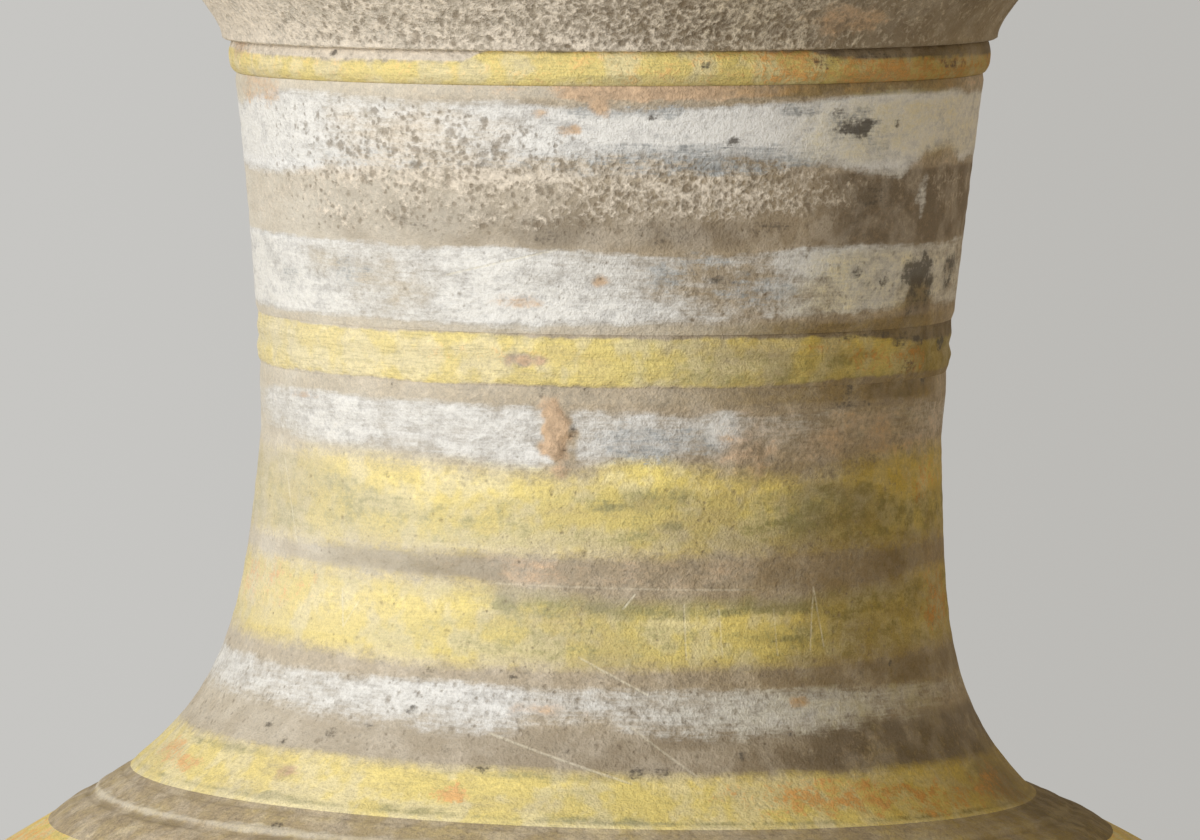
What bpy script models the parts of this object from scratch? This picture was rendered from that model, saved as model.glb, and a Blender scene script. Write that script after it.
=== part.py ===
"""Lidded pottery jar: a tall-necked storage jar of grey earthenware with a lift-off lid.

The jar is built as a potter builds it. The foot, two halves of the body, the neck and
the mouth are thrown apart and luted together on bevelled seats, bands and ribs of clay
are laid into turned rebates, and the lid is a dome with a collar and a knob luted on.
Every section is a closed outline turned about the jar's axis. The neck was set on a
little askew and straightened by hand, so its rings lean and tilt along the jar.
"""

import math

import bmesh
import bpy
from mathutils import Vector
from mathutils.geometry import interpolate_bezier

MM = 0.001
SEGMENTS = 40
GAP = 0.3 * MM
SMOOTH_ANGLE = math.radians(32)

# Foot: a flared ring with a thicker band where it stands
FOOT_RADIUS = 105.0 * MM
FOOT_BAND_HEIGHT = 13.0 * MM
FOOT_BAND_STEP = 3.6 * MM
FOOT_WALL = 11.5 * MM
FOOT_EDGE = 0.9 * MM
FOOT_FLARE = ((93.0 * MM, 24.0 * MM), (88.0 * MM, 38.0 * MM))
FOOT_HOLLOW = ((78.5 * MM, 34.0 * MM), (87.5 * MM, 14.0 * MM))

# Body: two thrown bowls that meet at the widest ring
BODY_FOOT_Z = 52.0 * MM
BODY_FOOT_RADIUS = 90.0 * MM
BODY_SEAT_DROP = 4.0 * MM
BODY_FLOOR = 11.0 * MM
BELLY_Z = 190.0 * MM
BELLY_RADIUS = 176.0 * MM
BODY_WALL = 9.5 * MM
SEAM_DROP = 3.7 * MM
BOWL_FLOOR_RADIUS = 64.0 * MM
BOWL_WALL = ((BELLY_RADIUS, 124.0 * MM), (132.0 * MM, 84.0 * MM))
BOWL_HOLLOW = ((122.0 * MM, 84.0 * MM), (BELLY_RADIUS - BODY_WALL, 126.0 * MM))
DOME_WALL = ((BELLY_RADIUS, 240.0 * MM), (149.0 * MM, 268.0 * MM))
DOME_HOLLOW = ((140.0 * MM, 259.0 * MM), (BELLY_RADIUS - BODY_WALL, 233.0 * MM))

# Belly band: a two-lobed strip that covers the seam of the body
BELLY_BAND_HALF = 9.0 * MM
BELLY_BAND_CROWN = 2.2 * MM
BAND_REBATE = 2.2 * MM

# Shoulder: it slopes up to the neck and carries two broad ribs
SHOULDER_EDGE_RADIUS = 108.9 * MM
SHOULDER_EDGE_Z = 290.6 * MM
SHOULDER_SLOPE = 0.55
RIB_REBATE = 1.0 * MM
RIB_RADII = (92.9 * MM, 100.1 * MM, 100.5 * MM, 108.3 * MM)
RIB_EDGE = 1.1 * MM
RIB_CROWN = 2.0 * MM

# Neck: narrowest at its waist, flaring a little upwards and strongly to the shoulder
NECK_BASE_Z = 300.0 * MM
NECK_WAIST_Z = 369.7 * MM
NECK_WAIST_RADIUS = 69.6 * MM
NECK_TOP_Z = 450.3 * MM
NECK_WALL = 8.0 * MM
NECK_TOP_FLARE = 7.6 * MM
NECK_TOP_POWER = 1.25
NECK_BASE_TAPER = 0.0625
NECK_BASE_FLARE = 17.7 * MM
NECK_BASE_POWER = 4.2
NECK_EDGE = 0.6 * MM
NECK_SEAT_RUN = 7.9 * MM
NECK_SEAT_GAP = 0.5 * MM
NECK_FLARE_RISE = 20.0 * MM
NECK_SHAFT_RISE = 30.0 * MM
BORE_FLARE_RISE = 14.0 * MM
BORE_SHAFT_RISE = 34.0 * MM
BORE_TOP_RUN = 36.0 * MM

# Neck bands: clay strips in grooves, the upper one close under the mouth
LOWER_BAND_Z = 388.9 * MM
LOWER_BAND_HALF = 5.1 * MM
LOWER_BAND_RADIUS = 71.0 * MM
LOWER_GROOVE_RADIUS = 68.6 * MM
UPPER_BAND_Z = 447.0 * MM
UPPER_BAND_HALF = 2.9 * MM
UPPER_BAND_RADIUS = 77.6 * MM
UPPER_GROOVE_RADIUS = 74.4 * MM
GROOVE_CHAMFER = 1.4 * MM
UPPER_BAND_ARC = (math.radians(80), math.radians(-90))
UPPER_BAND_FLAT = 0.25

# Two-lobed face: places from its top to its foot, and the share of the crown at each
LOBE_PLACES = (1.0, 0.78, 0.42, 0.0, -0.42, -0.78, -1.0)
LOBE_HEIGHTS = (0.25, 0.8, 1.0, 0.72, 0.96, 0.7, 0.1)

# Mouth: a collar that overhangs the neck and flares to an upright lip
MOUTH_Z = 450.7 * MM
MOUTH_EDGE_RADIUS = 79.0 * MM
MOUTH_INNER_RADIUS = 68.2 * MM
LIP_Z = 484.2 * MM
LIP_RADIUS = 95.5 * MM
LIP_INNER_RADIUS = 87.0 * MM
LIP_HEIGHT = 8.5 * MM
LIP_ROUND = 1.0 * MM
MOUTH_FLARE = ((79.6 * MM, 456.7 * MM), (92.0 * MM, 466.7 * MM))
MOUTH_SHELF_Z = 468.7 * MM
MOUTH_DISH = ((86.0 * MM, 462.7 * MM), (71.2 * MM, 458.7 * MM))

# Lid: heights are taken from the lip that it rests on
LID_RADIUS = 97.5 * MM
LID_RIM = 6.5 * MM
LID_HEIGHT = 40.0 * MM
COLLAR_RADIUS = 85.3 * MM
COLLAR_WALL = 8.0 * MM
COLLAR_DROP = 12.5 * MM
COLLAR_SEAT = 4.5 * MM
LID_STEP = 2.0 * MM
LID_CROWN = ((82.0 * MM, 24.0 * MM), (52.0 * MM, 39.0 * MM))
LID_HOLLOW = ((68.0 * MM, 20.0 * MM), (38.0 * MM, 31.5 * MM))
LID_HOLLOW_TOP = 30.5 * MM
KNOB_SEAT_RADIUS = 12.5 * MM
KNOB_SEAT_Z = 36.5 * MM
KNOB_RADIUS = 18.0 * MM
KNOB_HEIGHT = 34.0 * MM
KNOB_BUTTON_Z = (55.88 * MM, 58.88 * MM)
KNOB_STEM = ((7.5 * MM, 43.0 * MM), (8.5 * MM, 50.88 * MM))
KNOB_BUTTON = ((17.0 * MM, 63.88 * MM), (7.0 * MM, 68.8 * MM))

# Lean of the neck: its rings shift to +X going up, and are tilted most at its base
LEAN_SHIFT = 6.3 * MM
LEAN_START_Z = 282.0 * MM
LEAN_POWER = 1.7
LEAN_TILT = math.radians(2.04)
TILT_POWER = 1.15
TILT_FADE = 9.0 * MM

# Colours of the painted and bare clay
GREY_CLAY = (0.255, 0.205, 0.150)
YELLOW_PAINT = (0.680, 0.520, 0.130)
WHITE_PAINT = (0.640, 0.600, 0.530)
BROWN_CRUST = (0.330, 0.250, 0.180)


def curve(start, start_handle, end_handle, end, count):
    """Points along a Bezier curve, each as (radius, height)."""
    corners = [Vector((r, 0.0, z)) for r, z in (start, start_handle, end_handle, end)]
    return [(p.x, p.z) for p in interpolate_bezier(*corners, count)]


def blend(low, high, share):
    """Value at a share of the way from low to high."""
    return low + (high - low) * share


def levels(low, high, count):
    """Evenly spaced heights from low to high."""
    return [blend(low, high, i / (count - 1)) for i in range(count)]


def neck_radius(z):
    """Outer radius of the neck at a height, without its grooves."""
    if z >= NECK_WAIST_Z:
        share = (z - NECK_WAIST_Z) / (NECK_TOP_Z - NECK_WAIST_Z)
        return NECK_WAIST_RADIUS + NECK_TOP_FLARE * share ** NECK_TOP_POWER
    depth = NECK_WAIST_Z - z
    share = depth / (NECK_WAIST_Z - NECK_BASE_Z)
    return NECK_WAIST_RADIUS + NECK_BASE_TAPER * depth + NECK_BASE_FLARE * share ** NECK_BASE_POWER


def neck_bore(z):
    """Inner radius of the neck: its outline set in by the wall, and lower where it flares."""
    if z >= NECK_WAIST_Z:
        return neck_radius(z) - NECK_WALL
    return neck_radius(min(z + NECK_WALL, NECK_WAIST_Z)) - NECK_WALL


def leaned(x, y, z):
    """A point of an upright section, moved to where the leaning neck carries it."""
    rise = (z - LEAN_START_Z) / (MOUTH_Z - LEAN_START_Z)
    shift = LEAN_SHIFT * (1.0 - (1.0 - min(max(rise, 0.0), 1.0)) ** LEAN_POWER)
    share = min((z - NECK_BASE_Z) / (MOUTH_Z - NECK_BASE_Z), 1.0)
    if share >= 0.0:
        tilt = LEAN_TILT * (1.0 - share) ** TILT_POWER
    else:
        tilt = LEAN_TILT * math.exp((z - NECK_BASE_Z) / TILT_FADE)
    return shift + x * math.cos(tilt), y, z - x * math.sin(tilt)


def finish(name, color, roughness):
    """A material of one colour for one piece."""
    material = bpy.data.materials.new(name)
    material.use_nodes = True
    shader = material.node_tree.nodes["Principled BSDF"]
    shader.inputs["Base Color"].default_value = (*color, 1.0)
    shader.inputs["Roughness"].default_value = roughness
    shader.inputs["Metallic"].default_value = 0.0
    return material


def turned(name, outline, seat, parent, color, roughness=0.9, leaning=False):
    """Turn a closed outline, or one that starts and ends on the axis, into a solid.

    The outline is in heights of its parent. The object's origin is on the axis at seat.
    """
    work = bmesh.new()
    points = [work.verts.new((radius, 0.0, z)) for radius, z in outline]
    pairs = list(zip(points, points[1:]))
    if min(radius for radius, z in outline) > 0.0:
        pairs.append((points[-1], points[0]))
    edges = [work.edges.new(pair) for pair in pairs]
    bmesh.ops.spin(work, geom=points + edges, axis=(0.0, 0.0, 1.0), cent=(0.0, 0.0, 0.0),
                   angle=math.tau, steps=SEGMENTS, use_merge=True)
    bmesh.ops.remove_doubles(work, verts=work.verts, dist=0.001 * MM)
    bmesh.ops.recalc_face_normals(work, faces=work.faces)
    for vert in work.verts:
        x, y, z = leaned(*vert.co) if leaning else vert.co
        vert.co = (x, y, z - seat)
    mesh = bpy.data.meshes.new(name)
    work.to_mesh(mesh)
    work.free()
    mesh.shade_smooth()
    mesh.set_sharp_from_angle(angle=SMOOTH_ANGLE)
    mesh.materials.append(finish(name + "_clay", color, roughness))
    piece = bpy.data.objects.new(name, mesh)
    piece.location = (0.0, 0.0, seat)
    piece.parent = parent
    bpy.context.scene.collection.objects.link(piece)
    return piece


def guide(name, location):
    """An empty that a group of pieces is parented to."""
    empty = bpy.data.objects.new(name, None)
    empty.location = location
    bpy.context.scene.collection.objects.link(empty)
    return empty


def two_lobed(radius, crown, z, half):
    """Face of a band with two lobes and a shallow groove between them, top to bottom."""
    return [(radius + crown * rise, z + half * place)
            for place, rise in zip(LOBE_PLACES, LOBE_HEIGHTS)]


def foot_ring(jar):
    """Flared foot, hollow below, with a bevelled seat for the body on top."""
    top = BODY_FOOT_Z - GAP
    inner_top = BODY_FOOT_RADIUS - FOOT_WALL
    inner_foot = FOOT_RADIUS - FOOT_WALL
    band_top = FOOT_RADIUS - FOOT_BAND_STEP
    flare = curve((band_top, FOOT_BAND_HEIGHT + FOOT_EDGE), *FOOT_FLARE,
                  (BODY_FOOT_RADIUS, top), count=6)
    hollow = curve((inner_top, top - BODY_SEAT_DROP), *FOOT_HOLLOW,
                   (inner_foot, FOOT_EDGE), count=4)
    outline = [
        (FOOT_RADIUS - FOOT_EDGE, 0.0),
        (FOOT_RADIUS, FOOT_EDGE),
        (FOOT_RADIUS, FOOT_BAND_HEIGHT - FOOT_EDGE),
        (FOOT_RADIUS - FOOT_EDGE, FOOT_BAND_HEIGHT),
        *flare,
        *hollow,
        (inner_foot + FOOT_EDGE, 0.0),
    ]
    turned("foot_ring", outline, 0.0, jar, GREY_CLAY)


def lower_body(jar):
    """Thrown bowl with the jar's floor, from its bevelled foot seat up to the belly seam."""
    rebate = BELLY_RADIUS - BAND_REBATE
    band_foot = BELLY_Z - BELLY_BAND_HALF - GAP
    inner = BELLY_RADIUS - BODY_WALL
    underside = BODY_FOOT_Z - BODY_SEAT_DROP
    wall = curve((BELLY_RADIUS, band_foot), *BOWL_WALL, (BODY_FOOT_RADIUS, BODY_FOOT_Z), count=10)
    hollow = curve((BOWL_FLOOR_RADIUS, underside + BODY_FLOOR), *BOWL_HOLLOW,
                   (inner, BELLY_Z - SEAM_DROP), count=8)
    outline = [
        (0.0, underside),
        (BODY_FOOT_RADIUS - FOOT_WALL, underside),
        *reversed(wall),
        (rebate, band_foot),
        (rebate, BELLY_Z),
        *reversed(hollow),
        (0.0, underside + BODY_FLOOR),
    ]
    turned("lower_body", outline, BODY_FOOT_Z, jar, GREY_CLAY)


def rebate_floor(radius):
    """Height of the turned rebate on the shoulder that the ribs lie in."""
    edge = SHOULDER_EDGE_Z - RIB_REBATE
    return edge + SHOULDER_SLOPE * (SHOULDER_EDGE_RADIUS - radius)


def shoulder(jar):
    """Thrown dome from the belly seam up to the mitred seat of the neck."""
    rebate = BELLY_RADIUS - BAND_REBATE
    band_top = BELLY_Z + BELLY_BAND_HALF + GAP
    inner = BELLY_RADIUS - BODY_WALL
    seat_radius = neck_radius(NECK_BASE_Z) + GAP
    seat_z = NECK_BASE_Z - NECK_EDGE - NECK_SEAT_GAP
    dome = curve((BELLY_RADIUS, band_top), *DOME_WALL,
                 (SHOULDER_EDGE_RADIUS, SHOULDER_EDGE_Z), count=10)
    seat_inner = (seat_radius - NECK_SEAT_RUN, seat_z - NECK_SEAT_RUN)
    hollow = curve(seat_inner, *DOME_HOLLOW, (inner, BELLY_Z - SEAM_DROP + GAP), count=8)
    outline = [
        (rebate, BELLY_Z + GAP),
        (rebate, band_top),
        *dome,
        (SHOULDER_EDGE_RADIUS - GAP, rebate_floor(SHOULDER_EDGE_RADIUS - GAP)),
        (seat_radius + GAP, rebate_floor(seat_radius + GAP)),
        (seat_radius, seat_z),
        *hollow,
    ]
    turned("shoulder", outline, BELLY_Z, jar, GREY_CLAY, leaning=True)


def shoulder_rib(jar, name, low_radius, high_radius):
    """Broad convex rib laid on the shoulder's rebate."""
    crest = []
    for share in levels(0.0, 1.0, count=5):
        radius = blend(low_radius, high_radius, share)
        rise = blend(RIB_EDGE, RIB_CROWN, 1.0 - (2.0 * share - 1.0) ** 2)
        crest.append((radius, rebate_floor(radius) + GAP + rise))
    outline = [
        (low_radius, rebate_floor(low_radius) + GAP),
        *crest,
        (high_radius, rebate_floor(high_radius) + GAP),
    ]
    turned(name, outline, rebate_floor(low_radius), jar, GREY_CLAY, leaning=True)


def belly_band(jar):
    """Two-lobed strip in the rebate round the body's seam."""
    half = BELLY_BAND_HALF
    inside = BELLY_RADIUS - BAND_REBATE + GAP
    outline = [
        (inside, BELLY_Z + half),
        *two_lobed(BELLY_RADIUS, BELLY_BAND_CROWN, BELLY_Z, half),
        (inside, BELLY_Z - half),
    ]
    turned("belly_band", outline, BELLY_Z, jar, YELLOW_PAINT)


def neck(jar):
    """Leaning tube with a groove for the lower band and a rebate for the upper one."""
    base_radius = neck_radius(NECK_BASE_Z)
    edge_z = NECK_BASE_Z - NECK_EDGE
    groove_low = LOWER_BAND_Z - LOWER_BAND_HALF - GAP
    groove_high = LOWER_BAND_Z + LOWER_BAND_HALF + GAP
    rebate_low = UPPER_BAND_Z - UPPER_BAND_HALF - GAP
    below = levels(NECK_BASE_Z, NECK_BASE_Z + NECK_FLARE_RISE, count=5)
    below += levels(NECK_BASE_Z + NECK_SHAFT_RISE, NECK_WAIST_Z, count=4)
    between = levels(groove_high + GROOVE_CHAMFER, rebate_low - GROOVE_CHAMFER, count=5)
    bore = levels(edge_z - NECK_SEAT_RUN, NECK_BASE_Z + BORE_FLARE_RISE, count=4)
    bore += levels(NECK_BASE_Z + BORE_SHAFT_RISE, NECK_WAIST_Z, count=2)
    bore += levels(NECK_WAIST_Z + BORE_TOP_RUN, NECK_TOP_Z, count=2)
    outline = [(base_radius, edge_z)]
    outline += [(neck_radius(z), z) for z in below]
    outline += [
        (neck_radius(groove_low - 2 * GROOVE_CHAMFER), groove_low - 2 * GROOVE_CHAMFER),
        (neck_radius(groove_low) - GROOVE_CHAMFER / 2, groove_low),
        (LOWER_GROOVE_RADIUS, groove_low),
        (LOWER_GROOVE_RADIUS, groove_high),
        (neck_radius(groove_high) - GROOVE_CHAMFER / 2, groove_high),
    ]
    outline += [(neck_radius(z), z) for z in between]
    outline += [
        (neck_radius(rebate_low) - GROOVE_CHAMFER / 2, rebate_low),
        (UPPER_GROOVE_RADIUS, rebate_low),
        (UPPER_GROOVE_RADIUS, NECK_TOP_Z),
    ]
    outline += [(neck_bore(z), z) for z in reversed(bore)]
    turned("neck", outline, NECK_BASE_Z, jar, WHITE_PAINT, leaning=True)


def lower_neck_band(jar):
    """Two-lobed strip in the groove above the neck's waist."""
    half = LOWER_BAND_HALF
    inside = LOWER_GROOVE_RADIUS + GAP
    face = LOWER_BAND_RADIUS - GROOVE_CHAMFER
    outline = [
        (inside, LOWER_BAND_Z + half),
        *two_lobed(face, GROOVE_CHAMFER, LOWER_BAND_Z, half),
        (inside, LOWER_BAND_Z - half),
    ]
    turned("lower_neck_band", outline, LOWER_BAND_Z, jar, YELLOW_PAINT, leaning=True)


def upper_neck_band(jar):
    """Single rounded strip in the rebate under the mouth."""
    half = UPPER_BAND_HALF
    inside = UPPER_GROOVE_RADIUS + GAP
    outline = [(inside, UPPER_BAND_Z + half)]
    for angle in levels(*UPPER_BAND_ARC, count=6):
        bulge = (UPPER_BAND_RADIUS - inside) * blend(UPPER_BAND_FLAT, 1.0, math.cos(angle))
        outline.append((inside + bulge, UPPER_BAND_Z + half * math.sin(angle)))
    outline.append((inside, UPPER_BAND_Z - half))
    turned("upper_neck_band", outline, UPPER_BAND_Z, jar, YELLOW_PAINT, leaning=True)


def mouth_collar(jar):
    """Collar on the neck's top, flaring to an upright lip with a dished inside."""
    lip_foot = LIP_Z - LIP_HEIGHT
    flare = curve((MOUTH_EDGE_RADIUS, MOUTH_Z + GAP), *MOUTH_FLARE, (LIP_RADIUS, lip_foot), count=7)
    dish = curve((LIP_INNER_RADIUS, MOUTH_SHELF_Z), *MOUTH_DISH, (MOUTH_INNER_RADIUS, MOUTH_Z), count=6)
    outline = [
        (MOUTH_EDGE_RADIUS - GAP, MOUTH_Z),
        *flare,
        (LIP_RADIUS, LIP_Z - LIP_ROUND),
        (LIP_RADIUS - LIP_ROUND, LIP_Z),
        (LIP_INNER_RADIUS + LIP_ROUND, LIP_Z),
        (LIP_INNER_RADIUS, LIP_Z - LIP_ROUND),
        *dish,
    ]
    turned("mouth_collar", outline, MOUTH_Z, jar, BROWN_CRUST, leaning=True)


def lid_dome(lid):
    """Shallow dome with a square rim, a groove for the collar and a seat for the knob."""
    groove_out = COLLAR_RADIUS + GAP
    groove_in = COLLAR_RADIUS - COLLAR_WALL - GAP
    groove_top = COLLAR_SEAT + GAP
    rim_top = LID_RIM + GAP
    crown = curve((LID_RADIUS - LID_STEP, rim_top + LIP_ROUND), *LID_CROWN,
                  (KNOB_SEAT_RADIUS + LID_STEP, LID_HEIGHT), count=8)
    hollow = curve((groove_in - LID_STEP, LIP_ROUND), *LID_HOLLOW, (0.0, LID_HOLLOW_TOP), count=6)
    outline = [
        *reversed(hollow),
        (groove_in, LIP_ROUND),
        (groove_in, groove_top),
        (groove_out, groove_top),
        (groove_out, GAP),
        (LID_RADIUS - LIP_ROUND, GAP),
        (LID_RADIUS, GAP + LIP_ROUND),
        (LID_RADIUS, rim_top - LIP_ROUND),
        *crown,
        (KNOB_SEAT_RADIUS, KNOB_SEAT_Z),
        (0.0, KNOB_SEAT_Z),
    ]
    turned("lid_dome", outline, 0.0, lid, BROWN_CRUST)


def lid_collar(lid):
    """Ring under the dome that drops inside the mouth and keeps the lid in place."""
    inner = COLLAR_RADIUS - COLLAR_WALL
    outline = [
        (COLLAR_RADIUS, COLLAR_SEAT),
        (COLLAR_RADIUS, LIP_ROUND - COLLAR_DROP),
        (COLLAR_RADIUS - LIP_ROUND, -COLLAR_DROP),
        (inner + LIP_ROUND, -COLLAR_DROP),
        (inner, LIP_ROUND - COLLAR_DROP),
        (inner, COLLAR_SEAT),
    ]
    turned("lid_collar", outline, 0.0, lid, GREY_CLAY)


def lid_knob(lid):
    """Turned button knob with a waist, seated in the top of the dome."""
    foot = KNOB_SEAT_Z + GAP
    top = foot + KNOB_HEIGHT
    seat = KNOB_SEAT_RADIUS - GAP
    low, high = KNOB_BUTTON_Z
    stem = curve((seat, LID_HEIGHT), *KNOB_STEM, (KNOB_RADIUS, low), count=6)
    button = curve((KNOB_RADIUS, high), *KNOB_BUTTON, (0.0, top), count=6)
    outline = [(0.0, foot), (seat, foot), *stem, *button]
    turned("lid_knob", outline, foot, lid, YELLOW_PAINT)


def main():
    """Clear the scene and build the jar and its lid."""
    for old in list(bpy.data.objects):
        bpy.data.objects.remove(old)
    jar = guide("jar_axis", (0.0, 0.0, 0.0))
    foot_ring(jar)
    lower_body(jar)
    shoulder(jar)
    belly_band(jar)
    shoulder_rib(jar, "inner_shoulder_rib", *RIB_RADII[:2])
    shoulder_rib(jar, "outer_shoulder_rib", *RIB_RADII[2:])
    neck(jar)
    lower_neck_band(jar)
    upper_neck_band(jar)
    mouth_collar(jar)
    lid = guide("lid_axis", (LEAN_SHIFT, 0.0, LIP_Z))
    lid_dome(lid)
    lid_collar(lid)
    lid_knob(lid)


main()
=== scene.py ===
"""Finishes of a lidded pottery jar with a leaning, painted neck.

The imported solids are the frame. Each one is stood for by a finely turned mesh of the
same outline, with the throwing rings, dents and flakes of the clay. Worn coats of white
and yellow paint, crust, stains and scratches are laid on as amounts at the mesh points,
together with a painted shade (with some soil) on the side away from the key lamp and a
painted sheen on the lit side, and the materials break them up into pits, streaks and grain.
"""

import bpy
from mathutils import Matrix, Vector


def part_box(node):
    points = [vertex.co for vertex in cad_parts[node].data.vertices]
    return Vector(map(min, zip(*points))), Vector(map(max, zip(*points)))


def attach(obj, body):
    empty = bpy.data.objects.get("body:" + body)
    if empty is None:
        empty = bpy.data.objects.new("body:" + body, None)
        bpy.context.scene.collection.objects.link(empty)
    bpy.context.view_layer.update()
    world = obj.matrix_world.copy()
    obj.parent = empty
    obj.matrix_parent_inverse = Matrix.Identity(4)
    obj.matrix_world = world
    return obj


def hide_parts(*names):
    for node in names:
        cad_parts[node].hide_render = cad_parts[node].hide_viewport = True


bl_info = {
    "name": "Painted Pottery Jar",
    "version": (1, 0, 0),
    "blender": (4, 5, 0),
    "location": "View3D > Sidebar > Jar",
    "description": "Builds the painted clay surfaces of a lidded jar around its packed solids",
    "category": "Object",
}

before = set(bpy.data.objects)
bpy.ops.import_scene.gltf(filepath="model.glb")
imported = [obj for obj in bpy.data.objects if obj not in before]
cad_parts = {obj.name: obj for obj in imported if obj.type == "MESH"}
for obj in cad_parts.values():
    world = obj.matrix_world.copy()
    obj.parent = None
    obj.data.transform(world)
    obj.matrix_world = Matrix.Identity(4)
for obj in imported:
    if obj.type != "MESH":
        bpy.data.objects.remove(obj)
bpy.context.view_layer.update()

import math
from collections import namedtuple

import bpy
import numpy as np
from bpy.props import FloatProperty, FloatVectorProperty, PointerProperty
from bpy.types import Operator, Panel, PropertyGroup
from mathutils import Euler, Vector

MM = 0.001

# Places that the frame gives
LID_LOW, LID_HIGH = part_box("lid_dome")
KNOB_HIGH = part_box("lid_knob")[1]
MOUTH_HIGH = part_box("mouth_collar")[1]
LID_AXIS_X = (LID_LOW.x + LID_HIGH.x) / 2

# Gaps between the luted sections, and how deep a band beds into its groove
GAP = 0.3 * MM
BED = 0.1 * MM

# Foot: heights, radii and curve handles as (radius, height), all in metres
FOOT_EDGE = 0.9 * MM
FOOT_BAND_HEIGHT = 13.0 * MM
FOOT_BAND_STEP = 3.6 * MM
FOOT_FLARE = ((93 * MM, 24 * MM), (88 * MM, 38 * MM))
FOOT_HOLLOW_TOP = (78.5 * MM, 47.7 * MM)
FOOT_HOLLOW = ((78.5 * MM, 34 * MM), (87.5 * MM, 14 * MM))
FOOT_HOLLOW_RADIUS = 93.5 * MM

# Body: a lower bowl and a shoulder dome that meet behind the belly band
BODY_FOOT_Z = 52.0 * MM
BODY_FOOT_RADIUS = 90.0 * MM
BODY_SEAT = (78.5 * MM, 48.0 * MM)
BODY_WALL = 9.5 * MM
SEAM_DROP = 3.7 * MM
BELLY_Z = 190.0 * MM
BELLY_BAND_HALF = 9.3 * MM
BELLY_BAND_CROWN = 2.2 * MM
BELLY_BAND_EDGES = (0.1, 0.25)
BELLY_REBATE = 2.2 * MM
BOWL_HANDLE = (132 * MM, 84 * MM)
BOWL_RISE_Z = 124 * MM
BOWL_FLOOR = (64 * MM, 59 * MM)
BOWL_HOLLOW_HANDLE = (122 * MM, 84 * MM)
BOWL_HOLLOW_RISE_Z = 126 * MM
DOME_HANDLE = (149 * MM, 268 * MM)
DOME_RISE_Z = 240 * MM
DOME_HOLLOW_HANDLE = (140 * MM, 259 * MM)
DOME_HOLLOW_RISE_Z = 233 * MM
DOME_HOLLOW_TOP_Z = 291 * MM
DOME_HOLLOW_INSET = 7.6 * MM

# Shoulder ribs, and the lines turned into them: radius, rise and half width
SHOULDER_EDGE_RADIUS = 108.9 * MM
SHOULDER_EDGE_Z = 289.6 * MM
SHOULDER_SLOPE = 0.55
RIB_REBATE = 0.8 * MM
RIB_CROWN = 0.3 * MM
RIB_SEAM = 1.15 * MM
RIB_OUTER_EDGE = 0.85 * MM
RIB_ROWS = 37
INNER_RIB = (91.3 * MM, 100.4 * MM)
OUTER_RIB = (100.2 * MM, 109.1 * MM)
RIB_LINES = np.array((
    (94.2, -0.2, 0.5),
    (99.2, 0.24, 0.5),
    (100.9, -0.24, 0.6),
    (104.8, 0.14, 0.7),
)) * MM

# Neck: narrowest at its waist, with two grooves for its bands
NECK_BASE_Z = 300.0 * MM
NECK_FOOT_DROP = 1.4 * MM
NECK_INSIDE_DROP = 8.5 * MM
NECK_WAIST_Z = 369.7 * MM
NECK_TOP_Z = 450.3 * MM
NECK_WALL = 8.0 * MM
NECK_TOP_FLARE = 7.6 * MM
NECK_TOP_POWER = 1.25
NECK_BASE_TAPER = 0.0625
NECK_BASE_FLARE = 17.7 * MM
NECK_BASE_POWER = 4.2
GROOVE_CHAMFER = 1.4 * MM
LOWER_BAND_Z = 388.9 * MM
LOWER_BAND_HALF = 5.3 * MM
LOWER_BAND_FACE = 69.6 * MM
LOWER_BAND_CROWN = 1.4 * MM
LOWER_BAND_EDGES = (0.36, 0.84)
LOWER_GROOVE_RADIUS = 68.6 * MM
UPPER_BAND_Z = 447.0 * MM
UPPER_BAND_HALF = 3.5 * MM
UPPER_BAND_RADIUS = 77.6 * MM
UPPER_BAND_FLATS = (0.4, 0.66)
UPPER_GROOVE_RADIUS = 74.4 * MM

# Mouth: it flares to an upright lip, and is dished inside
MOUTH_Z = 450.7 * MM
MOUTH_EDGE_RADIUS = 79.0 * MM
MOUTH_INNER_RADIUS = 68.2 * MM
MOUTH_UNDERCUT = (0.5 * MM, 0.3 * MM)
MOUTH_RISE = (0.6 * MM, 6 * MM)
LIP_EDGE = 1.0 * MM
LIP_INNER_RADIUS = 87.0 * MM
LIP_FOOT_Z = 475.7 * MM
LIP_RISE = (3.5 * MM, 9 * MM)
DISH_TOP = (1 * MM, 6 * MM)
DISH_FOOT = (3 * MM, 8 * MM)
DISH_CLEARANCE = 3.0 * MM

# Lid: heights are taken from the lip that it rests on
LID_EDGE = 1.0 * MM
LID_RIM_TOP = 6.8 * MM
LID_RIM_STEP = 2 * MM
LID_TOP = 40.0 * MM
LID_CROWN = ((82 * MM, 24 * MM), (52 * MM, LID_TOP - LID_EDGE))
LID_HOLLOW = ((0.0, 30.5 * MM), (38 * MM, 31.5 * MM), (68 * MM, 20 * MM), (75 * MM, LID_EDGE))
LID_GROOVE_TOP = 4.8 * MM
COLLAR_TOP = 4.5 * MM
COLLAR_RADIUS = 85.3 * MM
COLLAR_INNER_RADIUS = 77.3 * MM
COLLAR_DROP = 12.5 * MM
KNOB_SEAT = (12.5 * MM, 36.5 * MM)
KNOB_FOOT = (12.3 * MM, 36.8 * MM)
KNOB_STEM_FOOT = (12.4 * MM, 39.9 * MM)
KNOB_STEM = ((7.5 * MM, 43 * MM), (8.5 * MM, 50.9 * MM))
KNOB_EDGE = (55.9 * MM, 58.9 * MM)
KNOB_ROUND = (1 * MM, 63.9 * MM)
KNOB_CROWN = ((7 * MM, 68.8 * MM), (0.0, 70.8 * MM))

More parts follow.
